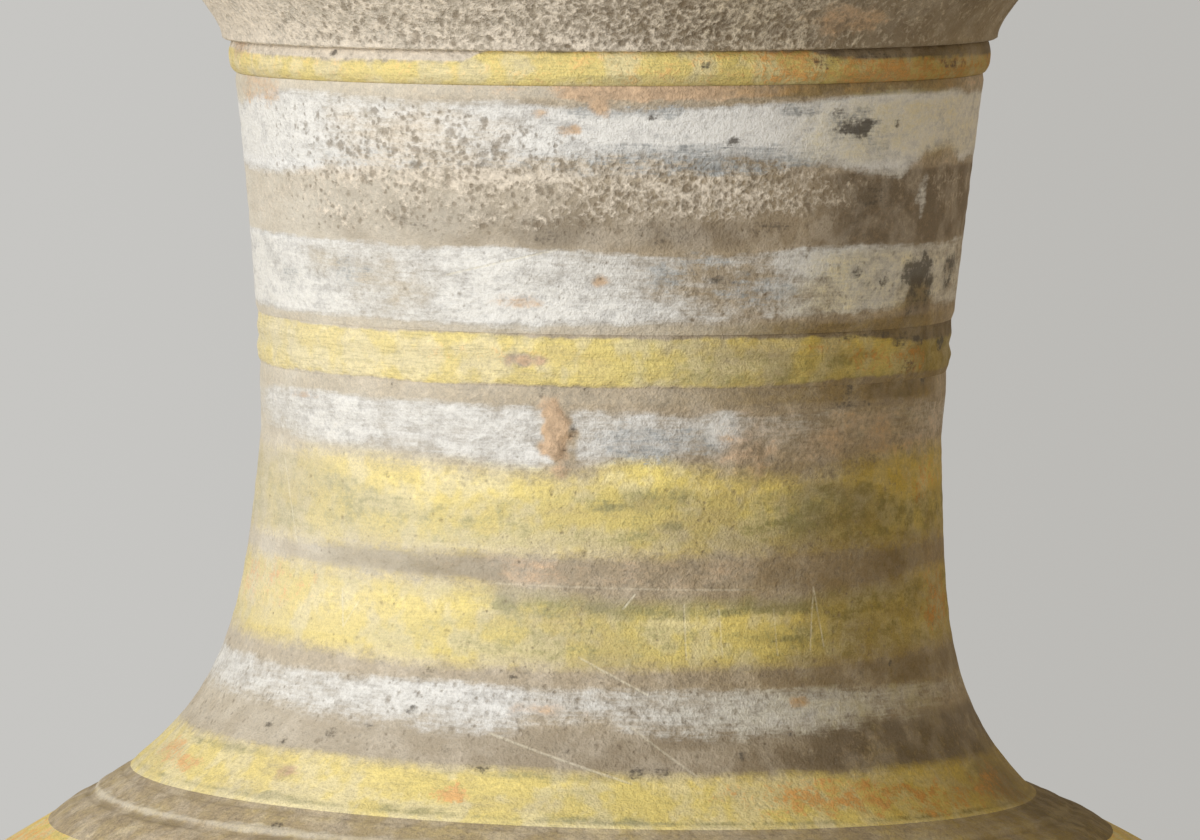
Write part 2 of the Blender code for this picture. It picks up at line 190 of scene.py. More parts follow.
# Lean of the neck: its rings shift to +X going up, and are tilted most at its base
LEAN_START_Z = 282.0 * MM
LEAN_POWER = 1.7
TILT_POWER = 1.15
TILT_FADE = 9.0 * MM

# Mesh columns: close together on the seen front of the neck, wider apart behind
FRONT_HALF_ANGLE = 94.0
FRONT_COLUMNS = 350
BACK_COLUMNS = 90
BODY_COLUMNS = 360
KNOB_COLUMNS = 120
CORNER_ANGLE = 50.0
NECK_ROW = 0.68 * MM

# Noise: cells of its grid, their turn, the step from seed to seed and the spread about zero
NOISE_CELLS = 64
NOISE_ANGLES = (0.5, 0.8, 0.3)
NOISE_STEP = np.array((17.3, 9.1, 5.7))
NOISE_SPREAD = 15.0
NOISE_SEED = 20

# Stage
FLOOR_RADIUS = 1.5
FLOOR_RINGS = 24
FLOOR_COLUMNS = 96
LIT_SIDE = Vector((-0.72, -0.65, 0.26)).normalized()
LIT_EDGES = (-0.25, 0.35)
BRIGHT_LIGHT = (1.0, 0.99, 0.97, 1.0)
DIM_LIGHT = (1.0, 0.76, 0.42, 1.0)
LAMP_AIM = Vector((0.0, 0.0, 0.35))
KEY_PLACE = (-1.78, -1.86, 1.0)
KEY_SIZE = 1.5
KEY_LIGHT = (1.0, 0.985, 0.96)
RIM_PLACE = (2.2, 0.5, 0.7)
RIM_SIZE = 1.2
RIM_LIGHT = (1.0, 0.76, 0.46)
CAMERA_AIM = Vector((4.3 * MM, 0.0, 372.2 * MM))
CAMERA_DISTANCE = 2.0
CAMERA_PITCH = math.radians(4.2)
CAMERA_LENS = 293.9


def length(name, description, default):
    """A length that a user would change."""
    return FloatProperty(name=name, description=description, default=default, unit="LENGTH")


def paint(name, description, default):
    """A colour that a user would change."""
    return FloatVectorProperty(name=name, description=description, default=default, subtype="COLOR",
                               min=0.0, max=1.0)


def level(name, description, default, unit="NONE"):
    """A light level that a user would change."""
    return FloatProperty(name=name, description=description, default=default, min=0.0, unit=unit)


class JarSizes(PropertyGroup):
    """Sizes of the jar that a user would change."""

    foot_radius: length("Foot radius", "Radius of the band that the jar stands on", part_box("foot_ring")[1].x)
    belly_radius: length("Belly radius", "Radius of the body at its widest ring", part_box("lower_body")[1].x)
    waist_radius: length("Neck waist radius", "Radius of the neck where it is narrowest", 69.6 * MM)
    lip_radius: length("Lip radius", "Outer radius of the upright lip", MOUTH_HIGH.x - LID_AXIS_X)
    lip_height: length("Lip height", "Height of the lip that the lid rests on", MOUTH_HIGH.z)
    lid_radius: length("Lid radius", "Radius of the lid's rim", LID_HIGH.x - LID_AXIS_X)
    knob_radius: length("Knob radius", "Radius of the knob's button", KNOB_HIGH.x - LID_AXIS_X)
    lean_shift: length("Lean shift", "How far the mouth stands to the side of the foot", LID_AXIS_X)
    lean_tilt: FloatProperty(
        name="Lean tilt", description="Tilt of the neck's rings at its base",
        default=math.radians(2.04), unit="ROTATION")
    ring_depth: length("Throwing rings", "Height of the fine rings left by the potter's fingers", 0.07 * MM)
    dent_depth: length("Dents", "Depth of the broad dents of a hand-made wall", 0.28 * MM)


class JarPaints(PropertyGroup):
    """Colours of the clay, its coats and its marks."""

    clay: paint("Clay", "Bare grey earthenware", (0.44, 0.35, 0.235))
    # Also the colour of the painted shade laid by the darkening layer on right sides, in creases and along
    # edges
    dark_clay: paint("Dark clay", "Clay stained by soil and in the cells of the crust", (0.225, 0.172, 0.112))
    crust: paint("Crust", "Pinkish limy crust", (0.775, 0.69, 0.575))
    white: paint("White", "White paint", (0.92, 0.91, 0.88))
    grey_white: paint("Grey white", "White paint where it is thin or grimy", (0.77, 0.76, 0.735))
    primer: paint("Primer", "Bluish grey haze where the white paint is rubbed thin", (0.55, 0.54, 0.525))
    straw: paint("Straw", "Paler patches of the yellow paint", (0.91, 0.785, 0.40))
    yellow: paint("Yellow", "Lemon yellow paint", (0.91, 0.745, 0.235))
    orange: paint("Orange", "Yellow paint turned orange", (0.83, 0.47, 0.16))
    # Also laid over the right side of the yellow bands as painted shade
    olive: paint("Olive", "Greenish grime on the yellow paint", (0.36, 0.33, 0.14))
    slate: paint("Slate", "Bluish grey ground that shows through thin white paint", (0.385, 0.395, 0.395))
    # Painted sheen: a pale haze laid mostly on the lit left side, and as painted highlights along raised edges
    bloom: paint("Bloom", "Pale dust that hazes the clay and the yellow paint", (0.88, 0.835, 0.73))
    tan: paint("Tan", "Fresh tan clay where a coat is lost", (0.66, 0.475, 0.315))
    # Painted shade: a brown tint laid mostly on the right side, away from the key lamp, with some soil
    soil: paint("Soil", "Brown tint where soil has sunk into clay and paint", (0.60, 0.53, 0.325))
    scratch: paint("Scratch", "Pale lines scratched into the coats", (0.93, 0.87, 0.68))
    stain: paint("Stain", "Dark brown to black stains", (0.085, 0.072, 0.055))


class JarStage(PropertyGroup):
    """Floor, backdrop and light."""

    backdrop_left: paint("Backdrop left", "Pale grey behind the left of the jar", (0.571, 0.565, 0.546))
    # Darker than the left: painted shade of the backdrop away from the key lamp
    backdrop_right: paint("Backdrop right", "Pale grey behind the right of the jar", (0.500, 0.491, 0.468))
    floor: paint("Floor", "Pale plain floor", (0.72, 0.71, 0.69))
    sky_level: level("Sky level", "Light from the bright half of the room", 0.62)
    shade_level: level("Shade level", "Light from the dim half of the room", 0.11)
    key_power: level("Key power", "Soft lamp at the left front", 42.0, "POWER")
    rim_power: level("Rim power", "Weak warm lamp at the right back", 8.0, "POWER")


# Smooth noise for the meshes

NOISE_TURN = np.array(Euler(NOISE_ANGLES).to_matrix())
NOISE_GRID = np.random.default_rng(NOISE_SEED).random((NOISE_CELLS,) * 3) * 2.0 - 1.0


def noise(points, size, seed):
    """Smooth noise from -1 to 1 at points in metres, in lumps of about the given size."""
    place = points @ NOISE_TURN / size + NOISE_STEP * seed
    cell = np.floor(place).astype(int)
    share = place - cell
    share = share * share * (3.0 - 2.0 * share)
    total = np.zeros(len(points))
    for corner in np.ndindex(2, 2, 2):
        near = np.mod(cell + np.array(corner), NOISE_CELLS)
        weight = np.prod(np.where(corner, share, 1.0 - share), axis=1)
        total += NOISE_GRID[near[:, 0], near[:, 1], near[:, 2]] * weight
    return total


def smooth_step(low, high, value):
    """Share from 0 to 1, eased, of the way from low to high."""
    share = np.clip((value - low) / (high - low), 0.0, 1.0)
    return share * share * (3.0 - 2.0 * share)


# Outlines: each is an array of (radius, height)

def curve(start, start_handle, end_handle, end, count):
    """Points along a Bezier curve."""
    share = np.linspace(0.0, 1.0, count)[:, None]
    back = 1.0 - share
    corners = [np.array(corner) for corner in (start, start_handle, end_handle, end)]
    weights = (back ** 3, 3 * back ** 2 * share, 3 * back * share ** 2, share ** 3)
    return sum(weight * corner for weight, corner in zip(weights, corners))


def spaced(points, step):
    """The same line with points added so that none are further apart than step."""
    points = np.array(points)
    dense = [points[:1]]
    for start, end in zip(points, points[1:]):
        count = max(1, math.ceil(np.linalg.norm(end - start) / step))
        shares = np.arange(1, count + 1)[:, None] / count
        dense.append(start + (end - start) * shares)
    return np.concatenate(dense)


def neck_radius(z, waist_radius):
    """Outer radius of the neck at heights, without its grooves."""
    above = np.clip((z - NECK_WAIST_Z) / (NECK_TOP_Z - NECK_WAIST_Z), 0.0, None)
    depth = np.clip(NECK_WAIST_Z - z, 0.0, None)
    below = depth / (NECK_WAIST_Z - NECK_BASE_Z)
    flare = NECK_TOP_FLARE * above ** NECK_TOP_POWER + NECK_BASE_FLARE * below ** NECK_BASE_POWER
    return waist_radius + NECK_BASE_TAPER * depth + flare


def leaned(points, sizes):
    """Points of upright rings, moved to where the leaning neck carries them."""
    x, y, z = points.T
    rise = np.clip((z - LEAN_START_Z) / (MOUTH_Z - LEAN_START_Z), 0.0, 1.0)
    shift = sizes.lean_shift * (1.0 - (1.0 - rise) ** LEAN_POWER)
    share = np.minimum((z - NECK_BASE_Z) / (MOUTH_Z - NECK_BASE_Z), 1.0)
    tilt = np.where(share >= 0.0, (1.0 - np.clip(share, 0.0, 1.0)) ** TILT_POWER,
                    np.exp(np.minimum(z - NECK_BASE_Z, 0.0) / TILT_FADE)) * sizes.lean_tilt
    return np.stack((shift + x * np.cos(tilt), y, z - x * np.sin(tilt)), axis=1)


def columns(front, back=0):
    """Angles round the jar in degrees, 0 at the front and growing to the right."""
    if not back:
        return np.arange(front) * 360.0 / front - 180.0
    seen = np.linspace(-FRONT_HALF_ANGLE, FRONT_HALF_ANGLE, front)
    behind = np.linspace(FRONT_HALF_ANGLE, 360.0 - FRONT_HALF_ANGLE, back + 2)[1:-1]
    return np.concatenate((seen, np.where(behind > 180.0, behind - 360.0, behind)))


# Paint and marks: heights in mm up the jar, angles in degrees from its front

Coat = namedtuple("Coat", "layer feather stations")
Spot = namedtuple("Spot", "layer angle height wide tall amount")
Lump = namedtuple("Lump", "angle height wide tall rise")

# Each mesh keeps its paint amounts in three colour attributes of four layers
PAINT_SETS = {
    # The darkening layer of the coat set is partly real and partly painted shade
    "coat": ("white", "yellow", "crust", "dark"),
    "tint": ("orange", "olive", "slate", "tan"),
    # Besides stains and pits, the mark set holds a painted shade with some soil on the right side and a
    # painted sheen on the lit left side
    "mark": ("stain", "bloom", "soil", "pit"),
}
LAYERS = sum(PAINT_SETS.values(), ())


def even(layer, feather, low, high, *amounts):
    """A coat with level edges, whose amount changes round the jar."""
    return Coat(layer, feather, [(angle, low, high, amount) for angle, amount in amounts])


def spots(layer, *places):
    """Several spots of one layer."""
    return [Spot(layer, *place) for place in places]


# Each station of a coat is (angle, low edge, high edge, amount), going once round the jar
NECK_PAINT = (
    Coat("white", (5.0, 3.0), ((-180, 426, 440, 0.75), (-80, 425, 437.5, 1.1), (-62, 425, 441, 1.1),
         (-52, 426, 441, 0.92), (-40, 427, 440.5, 0.62), (-25, 428, 440, 0.5), (-15, 428, 440.5, 0.7),
         (-8, 429.5, 439, 1.05), (5, 430.5, 438.5, 1.2), (20, 430, 439, 1.2), (30, 429, 439.5, 1.15),
         (40, 427, 441, 1.1), (52, 425, 441.5, 1.0), (58, 430, 441, 1.0), (66, 430.5, 441, 0.95),
         (72, 427.5, 440, 0.95))),
    Coat("white", (2.6, 1.3), ((-180, 397, 411, 0.6), (-80, 396.5, 411.5, 1.0),
         (-62, 396.3, 411.5, 0.82), (-50, 396, 411.5, 0.62), (-40, 396, 411.5, 0.56),
         (-30, 396, 411, 0.6), (-20, 396, 411.3, 0.7), (-8, 396, 411, 0.56), (0, 396, 410.5, 0.5),
         (10, 396, 410, 0.38), (20, 396, 410, 0.32), (30, 397, 411, 0.42), (40, 398, 411.3, 0.6),
         (52, 398.5, 411.3, 0.58), (60, 400, 411, 0.5), (70, 398, 411, 0.42))),
    Coat("white", (6.5, 2.4), ((-180, 370, 379, 0.4), (-80, 372, 379, 0.3), (-65, 371, 380, 0.5),
         (-50, 370.5, 380, 0.72), (-35, 370, 380, 0.64), (-22, 369, 379.5, 0.62),
         (-12, 367.5, 379.5, 0.68), (-4, 369, 379, 0.5), (5, 369, 378.5, 0.5), (14, 370, 378.5, 0.5),
         (20, 371, 379, 0.46), (26, 372, 378, 0.26), (40, 370, 379, 0.16), (80, 371, 379, 0.2))),
    Coat("white", (7.0, 3.0), ((-180, 317, 324.5, 0.45), (-80, 318, 325, 0.62),
         (-57, 317.5, 324.5, 0.5), (-40, 317, 324.5, 0.62), (-30, 316, 324.5, 0.66),
         (-12, 316, 324.5, 0.62), (-8, 318, 324.3, 0.42), (0, 318.5, 324.5, 0.48),
         (10, 316.5, 324.5, 0.42), (20, 316, 324.5, 0.48), (35, 317, 324.5, 0.58),
         (50, 318, 324.3, 0.42), (65, 318.5, 324, 0.26), (80, 319, 324, 0.22))),
    Coat("yellow", (6.5, 8.0), ((-180, 351.5, 367, 0.75), (-80, 350, 366, 0.5),
         (-60, 350.5, 367.5, 0.62), (-45, 351, 368, 0.92), (-30, 351, 367, 1.05), (-12, 351, 366, 1.05),
         (-4, 351, 365.5, 0.9), (3, 351, 368.5, 0.95), (12, 351, 368, 0.9), (20, 351.5, 366, 0.8),
         (28, 351.5, 366, 0.82), (36, 352, 365, 0.62), (48, 352, 368, 0.66), (57, 352, 369, 0.92),
         (80, 352, 369, 0.92))),
    Coat("yellow", (6.0, 5.5), ((-180, 330, 344, 0.75), (-80, 330, 344.8, 0.95),
         (-60, 329.5, 344.5, 1.0), (-40, 329, 344, 1.02), (-25, 328.5, 344, 1.0), (-15, 329, 343, 0.92),
         (-4, 329, 342, 0.84), (4, 329, 341, 0.8), (15, 329.5, 341.5, 0.95), (28, 329.5, 340.5, 1.0),
         (38, 330, 342, 0.85), (50, 330.5, 343, 0.8), (65, 331, 345, 0.75), (80, 331, 345, 0.9))),
    even("yellow", (3.0, 3.0), 428, 440, (-180, 0.0), (24, 0.0), (36, 0.2), (66, 0.22), (85, 0.1)),
    Coat("yellow", (3.0, 3.0), ((-180, 397, 410, 0.0), (26, 397, 410, 0.0), (38, 398, 410, 0.2),
         (56, 398, 410, 0.2), (75, 398, 410, 0.1))),
    Coat("yellow", (0.6, 3.6), ((-180, 297, 308, 0.9), (-80, 297, 308.6, 1.05), (0, 297, 308.2, 1.05),
         (30, 297, 308.4, 1.05), (56, 297, 308.6, 0.95), (68, 297, 308.5, 0.65),
         (76, 297, 308.5, 0.35))),
    # Painted highlight along the foot of the neck, strongest on the lit left side
    even("bloom", (0.3, 0.7), 297, 299.9, (-180, 0.2), (-80, 0.4), (30, 0.35), (60, 0.1)),
    Coat("crust", (5.0, 3.0), ((-180, 424, 440, 0.3), (-80, 424, 440, 0.1), (-60, 424, 440, 0.55),
         (-45, 423, 440, 0.85), (-20, 423, 438, 0.85), (-5, 423, 433, 0.75), (8, 424, 430, 0.6),
         (25, 424, 428, 0.5), (38, 424, 427, 0.2), (46, 424, 427, 0.0))),
    Coat("crust", (5.0, 3.0), ((-180, 413, 425, 0.3), (-80, 413, 425, 0.2), (-55, 414, 426, 0.26),
         (-30, 414, 426, 0.28), (-10, 415, 427, 0.34), (5, 417.5, 427, 0.52), (25, 418, 426, 0.5),
         (36, 418.5, 425, 0.36), (46, 419, 425, 0.1))),
    even("crust", (3.0, 2.0), 309, 329, (-180, 0.12), (-60, 0.1), (0, 0.1), (40, 0.08)),
    # Painted sheen on the lit left side of the neck, in two lots
    even("bloom", (2.0, 2.0), 331, 460, (-180, 0.3), (-90, 0.7), (-60, 0.6), (-30, 0.4), (-15, 0.24),
         (0, 0.1), (15, 0.03), (30, 0.0), (80, 0.0)),
    even("bloom", (2.0, 4.0), 290, 332, (-180, 0.2), (-90, 0.42), (-30, 0.26), (0, 0.1), (30, 0.0)),
    Coat("pit", (5.0, 4.0), ((-180, 414, 441, 0.4), (-74, 416, 441, 0.0), (-60, 414, 440, 0.45),
         (-46, 413, 440, 0.7), (-22, 413, 439, 0.74), (-10, 414, 435, 0.72), (2, 414, 431, 0.68),
         (22, 415, 429, 0.62), (38, 416, 427, 0.45), (48, 416, 427, 0.2))),
    even("pit", (3.0, 3.0), 396, 412, (-180, 0.2), (-75, 0.0), (-40, 0.14), (0, 0.2), (25, 0.36),
         (45, 0.34), (66, 0.3)),
    Coat("pit", (4.0, 4.0), ((-180, 329, 380, 0.1), (-60, 329, 370, 0.12), (0, 329, 370, 0.26),
         (40, 329, 370, 0.28))),
    Coat("pit", (3.0, 3.0), ((-180, 300, 328, 0.25), (-60, 309, 328, 0.32), (0, 309, 328, 0.36),
         (60, 309, 328, 0.25))),
    # Darkening that is partly real and, beyond about 40 degrees, painted shade on the right side
    Coat("dark", (3.0, 1.0), ((-180, 412, 423, 0.3), (-70, 411, 424, 0.15), (-55, 411, 424, 0.42),
         (-45, 411, 424, 0.54), (-20, 411, 424, 0.5), (0, 411, 424, 0.5), (20, 411, 425, 0.36),
         (32, 411, 426, 0.2), (42, 411, 426, 1.1), (66, 411, 426, 1.1), (80, 411, 426, 0.9))),
    Coat("dark", (2.5, 2.5), ((-180, 345, 350.5, 0.3), (-65, 345, 350, 0.12), (-45, 345, 350.5, 0.6),
         (-30, 345, 350.5, 0.7), (-15, 345, 350.5, 0.5), (0, 345, 350.5, 0.08), (25, 344.5, 350, 0.14),
         (33, 344.5, 349, 0.2), (45, 343, 351, 0.12), (62, 343, 351, 0.36), (72, 345, 350, 0.0))),
    even("tan", (3.0, 3.0), 344, 350, (-180, 0.0), (-30, 0.05), (-10, 0.2), (8, 0.22), (20, 0.12),
         (40, 0.16), (52, 0.0)),
    # Painted shade: these two grey strips darken towards the right side, away from the key lamp
    Coat("dark", (2.0, 3.0), ((-180, 308.5, 317, 0.2), (-75, 308.5, 317, 0.15), (-45, 308.5, 317, 0.35),
         (0, 308.5, 317, 0.4), (15, 308.5, 317, 0.5), (40, 308.5, 318, 0.95), (80, 308.5, 318, 0.95))),
    Coat("dark", (2.0, 2.0), ((-180, 324.5, 329, 0.2), (-75, 324.5, 329, 0.15), (0, 324.5, 329, 0.15),
         (22, 324.5, 329, 0.12), (34, 324.5, 329, 0.3), (80, 324.5, 329.5, 0.5))),
    # Painted shade with some soil: the neck darkens towards its right side, away from the key lamp
    even("soil", (3.0, 3.0), 298, 369, (-180, 0.4), (-15, 0.0), (0, 0.08), (15, 0.2), (30, 0.45),
         (45, 0.8), (60, 1.0), (72, 0.75), (95, 0.75)),
    even("soil", (2.0, 6.0), 298, 312, (-180, 0.4), (30, 0.0), (45, 0.75), (60, 1.0), (80, 1.2),
         (95, 1.2)),
    Coat("soil", (1.5, 1.5), ((-180, 379, 397, 0.3), (0, 380, 396.5, 0.05), (15, 380, 396.5, 0.25),
         (30, 380, 396.5, 0.75), (45, 380, 396.5, 1.0), (64, 380, 397, 1.2), (80, 380, 397, 0.1))),
    even("soil", (1.0, 1.5), 441, 452, (-180, 0.3), (0, 0.0), (15, 0.2), (30, 1.0), (60, 1.2),
         (72, 0.05), (95, 0.0)),
    even("soil", (3.0, 3.0), 368, 380, (-180, 0.3), (10, 0.0), (25, 0.12), (45, 0.55), (60, 0.6),
         (80, 0.15)),
    even("tan", (3.0, 3.0), 369, 379, (-180, 0.1), (16, 0.0), (24, 0.26), (50, 0.3), (70, 0.16)),
    even("soil", (2.0, 2.0), 396, 411, (-180, 0.2), (26, 0.05), (42, 0.3), (62, 0.25), (80, 0.2)),
    even("soil", (1.0, 2.0), 411, 426, (-180, 0.1), (32, 0.0), (42, 0.16), (62, 0.1), (80, 0.1)),
    Coat("soil", (2.0, 2.0), ((-180, 427, 442, 0.2), (26, 427, 442, 0.0), (42, 427, 442, 0.25),
         (62, 428, 442, 0.22), (80, 428, 442, 0.1))),
    even("soil", (2.0, 2.0), 345, 350.5, (-180, 0.0), (-65, 0.1), (-45, 0.28), (-25, 0.3), (-12, 0.05)),
    Coat("olive", (5.0, 4.0), ((-180, 329, 338, 0.2), (-50, 329, 336, 0.15), (-20, 329, 338, 0.25),
         (0, 329, 339, 0.38), (20, 329, 336, 0.3), (50, 329, 338, 0.35))),
    Coat("slate", (2.0, 2.0), ((-180, 427, 431, 0.0), (-8, 426, 431, 0.15), (2, 426, 431.8, 0.42),
         (26, 426.5, 431.5, 0.44), (34, 427, 431, 0.2), (42, 427, 430, 0.0))),
    Coat("olive", (3.0, 3.0), ((-180, 352, 366, 0.3), (-80, 351, 366, 0.5), (-55, 351, 367, 0.42),
         (-30, 351, 359, 0.3), (0, 352, 364, 0.3), (25, 352, 362, 0.3), (36, 352, 364, 0.75),
         (50, 352, 364, 0.6), (60, 352, 360, 0.5))),
    Coat("olive", (1.5, 1.5), ((-180, 338, 344.5, 0.3), (-20, 341, 344, 0.15), (-10, 338, 344.5, 0.6),
         (12, 338, 344.5, 0.6), (25, 339, 344.5, 0.7), (33, 339, 344.5, 0.75), (50, 336, 344, 0.45),
         (179.9, 340, 344.5, 0.3))),
    *spots("dark", (-50, 418, 9.0, 4.0, 0.3), (-28, 416.5, 8.0, 4.0, 0.35), (-8, 415, 7.0, 3.4, 0.3),
           (13, 414.5, 9.0, 2.6, 0.35)),
    *spots("white", (-38, 404, 6.0, 3.4, -0.3), (-52, 407, 5.0, 2.4, -0.25),
           (13, 404.5, 8.0, 4.0, -0.2), (24, 400.5, 6.0, 3.0, -0.2), (22, 406.5, 6.0, 2.0, -0.22),
           (37, 402.5, 5.0, 3.0, -0.22)),
    *spots("dark", (20, 405, 4.0, 2.0, 0.35), (45, 404, 5.0, 2.4, 0.3)),
    *spots("white", (-33, 432, 8.0, 4.0, -0.25), (-46, 437, 4.0, 2.4, -0.2), (2, 399, 7.0, 2.0, 0.3),
           (33, 408, 5.0, 2.0, 0.3)),
    *spots("slate", (-45, 405, 5.0, 3.0, 0.3), (25, 403, 7.0, 3.4, 0.35), (14, 408.5, 6.0, 1.6, 0.35),
           (-62, 403, 3.0, 3.0, 0.25), (20, 428.6, 8.0, 1.8, 0.22), (46, 430, 3.0, 2.4, 0.3)),
    *spots("stain", (10, 414, 6.0, 1.8, 0.24), (25, 415.5, 5.0, 1.8, 0.18), (-9, 413.6, 4.0, 1.5, 0.22),
           (-30, 415.5, 5.0, 1.4, 0.2), (46, 421, 4.0, 2.6, 0.24), (40, 416, 4.0, 2.0, 0.22)),
    *spots("slate", (-4, 438.5, 2.4, 1.2, 0.6), (5, 438.6, 5.0, 1.1, 0.6), (28.5, 438.4, 3.4, 1.1, 1.0),
           (8, 433.4, 3.0, 0.8, 0.45)),
    *spots("tan", (-5.5, 435, 1.6, 1.1, 1.0), (-11, 438, 1.4, 0.9, 0.8), (-1.5, 440.0, 1.5, 1.7, 0.95),
           (-70, 441.5, 8.0, 3.2, 0.5)),
    Coat("tan", (0.7, 0.8), ((-180, 441.5, 444, 0.2), (-40, 441.5, 444, 0.0), (-9, 441.5, 444, 0.3),
         (-4, 440.6, 444.2, 0.95), (8, 440.9, 444.2, 0.95), (24, 440.9, 444, 0.8),
         (32, 441.5, 444, 0.2))),
    # Painted sheen on the lit left side of the strips beside the bands
    even("bloom", (1.0, 0.8), 441, 444.5, (-180, 0.2), (-85, 0.55), (-20, 0.5), (15, 0.3), (30, 0.0)),
    even("bloom", (0.8, 0.8), 380, 384.5, (-180, 0.2), (-85, 0.55), (-20, 0.3), (20, 0.12), (32, 0.0)),
    even("bloom", (0.8, 0.8), 393.5, 396.5, (-180, 0.2), (-85, 0.6), (0, 0.5), (25, 0.3), (36, 0.0)),
    *spots("stain", (6.3, 437.3, 0.6, 0.5, 1.1), (19, 432.5, 1.3, 0.9, 0.9),
           (38.8, 434.7, 2.0, 1.5, 0.9), (41.8, 434.0, 1.9, 1.5, 0.95), (43.2, 435.4, 1.3, 1.2, 0.85),
           (37.2, 437.4, 1.6, 1.2, 0.5)),
    Spot("slate", 40.5, 434.6, 5.5, 3.0, 0.5), Spot("stain", 49.5, 435.5, 0.9, 1.3, 0.45),
    *spots("white", (58.5, 420.5, 1.3, 3.8, 0.36), (-18.5, 407.5, 3.6, 2.6, 0.4),
           (-15, 399, 14.0, 2.8, 0.35)),
    *spots("tan", (-1.3, 404.7, 1.7, 1.1, 1.0), (-12.5, 400.5, 4.4, 1.4, 0.34)),
    Spot("slate", 9, 406, 2.5, 2.0, 0.7),
    *spots("stain", (18, 405, 2.2, 1.0, 0.6), (43.5, 406, 1.2, 0.9, 0.7), (46, 403.5, 1.3, 0.7, 0.6),
           (50, 404, 1.2, 0.6, 0.6), (57.5, 404.3, 3.0, 2.4, 0.85), (62, 405.4, 2.8, 2.8, 0.95),
           (64.5, 402.3, 2.0, 2.2, 0.8)),
    Spot("dark", 60, 400.5, 5.0, 4.5, 0.9), Spot("white", 60, 400.5, 4.6, 4.0, -0.5),
    *spots("stain", (59, 399.5, 2.6, 2.6, 0.5), (74.5, 405.6, 2.6, 2.4, 0.95), (73, 402, 1.8, 1.2, 0.8),
           (-2.5, 384, 0.9, 0.6, 0.9), (-10, 383.8, 0.7, 0.5, 0.8), (-37, 384.2, 0.6, 0.5, 0.8),
           (44.7, 384, 0.8, 0.6, 0.9), (67, 383, 1.6, 0.9, 0.7)),
    Spot("dark", 60, 382.3, 9.0, 2.4, 0.9),
    *spots("tan", (-57.5, 379, 5.0, 0.5, 0.7), (-8.6, 379.0, 1.8, 2.2, 1.2),
           (-7.2, 375.6, 2.5, 3.0, 1.2), (-7.6, 371.6, 1.8, 2.6, 1.2), (-6.8, 367.0, 1.7, 1.6, 0.8)),
    Spot("white", -7.4, 374.8, 2.4, 5.4, -1.0),
    # Painted shadow along the right edge of the raised flake
    *spots("stain", (-4.6, 375.0, 0.5, 2.2, 0.4), (-6.0, 371.0, 0.5, 1.5, 0.35)),
    Spot("slate", 9, 373, 9.0, 3.4, 0.45), Spot("white", 20, 375, 2.0, 2.8, 0.55),
    *spots("tan", (24.5, 368.5, 3.4, 5.0, 0.42), (39, 373, 4.2, 3.0, 0.28)),
    Spot("stain", 45, 379.6, 14.0, 0.5, 0.36), Spot("yellow", 7.5, 365.5, 4.8, 3.0, 0.7),
    # Negative amounts that lift the painted shade and soil again in a few places
    *spots("soil", (7.5, 365.5, 5.0, 3.0, -0.2), (20, 335.5, 10.0, 5.0, -0.2),
           (54, 320, 18.0, 7.0, -0.3)),
    *spots("olive", (8, 362, 6.0, 2.2, 0.45), (2, 360, 2.2, 0.9, 0.6), (12, 356.5, 1.4, 0.9, 0.6)),
    *spots("yellow", (-27, 362, 15.0, 2.2, 0.3), (27.5, 358.5, 3.2, 3.5, 0.4)),
    *spots("olive", (-14.5, 340.8, 1.9, 3.0, 0.6), (1, 340.5, 1.6, 0.9, 0.7)),
    *spots("yellow", (-9, 340, 4.2, 1.1, 0.4), (20, 335.5, 11.0, 5.2, 0.4)),
    *spots("orange", (75, 339, 8.0, 7.0, 0.42), (-70, 340, 14.0, 5.0, 0.3), (70, 364, 8.0, 4.0, 0.25)),
    *spots("stain", (-25, 326.8, 0.9, 0.7, 0.46), (-44, 327.5, 0.8, 0.6, 0.42),
           (54, 328, 0.8, 0.7, 0.42), (-27, 319, 1.2, 0.9, 0.42)),
    *spots("tan", (-5, 320, 4.5, 1.4, 0.5), (33, 322, 1.6, 1.2, 0.8)),
    *spots("stain", (-52, 312.5, 0.9, 0.9, 0.56), (-39, 313, 0.9, 0.8, 0.5), (-47, 310, 0.8, 0.6, 0.42),
           (-14, 308.5, 1.2, 0.7, 0.5), (7, 309, 1.3, 1.0, 0.54), (10.5, 309.5, 1.1, 0.9, 0.54),
           (-33, 315, 1.0, 0.8, 0.4), (-20, 311.5, 1.0, 0.8, 0.42), (-3, 313, 1.0, 0.8, 0.4),
           (22, 312, 1.0, 0.8, 0.4), (30, 316, 0.9, 0.7, 0.38), (-12, 326, 1.0, 0.7, 0.4)),
    *spots("orange", (-73, 304, 5.0, 2.0, 0.7), (-63, 303, 2.4, 1.4, 0.6)),
    Spot("tan", -44, 305, 2.2, 1.2, 0.9),
    *spots("orange", (-17.5, 304, 2.2, 1.6, 0.66), (34.5, 304.4, 12.0, 2.6, 0.62),
           (52, 302.8, 8.0, 2.4, 0.4)),
    Spot("olive", 72, 304, 9.0, 3.0, 0.8), Spot("dark", 76, 304, 7.0, 4.0, 0.8),
    Spot("orange", 72, 303.5, 8.0, 3.0, 0.6),
    Coat("olive", (0.5, 0.5), ((-180, 299.7, 300.3, 0.3), (-75, 299.7, 300.3, 0.35),
         (-40, 299.8, 300.5, 0.55), (0, 299.8, 300.6, 0.6), (30, 299.7, 300.4, 0.5),
         (60, 299.7, 300.3, 0.55))),
    Coat("olive", (2.0, 2.0), ((-180, 300.6, 306, 0.1), (-75, 301, 305, 0.0), (-20, 300.8, 305, 0.08),
         (2, 300.8, 306, 0.2), (20, 300.8, 306, 0.16), (45, 300.8, 306, 0.14))),
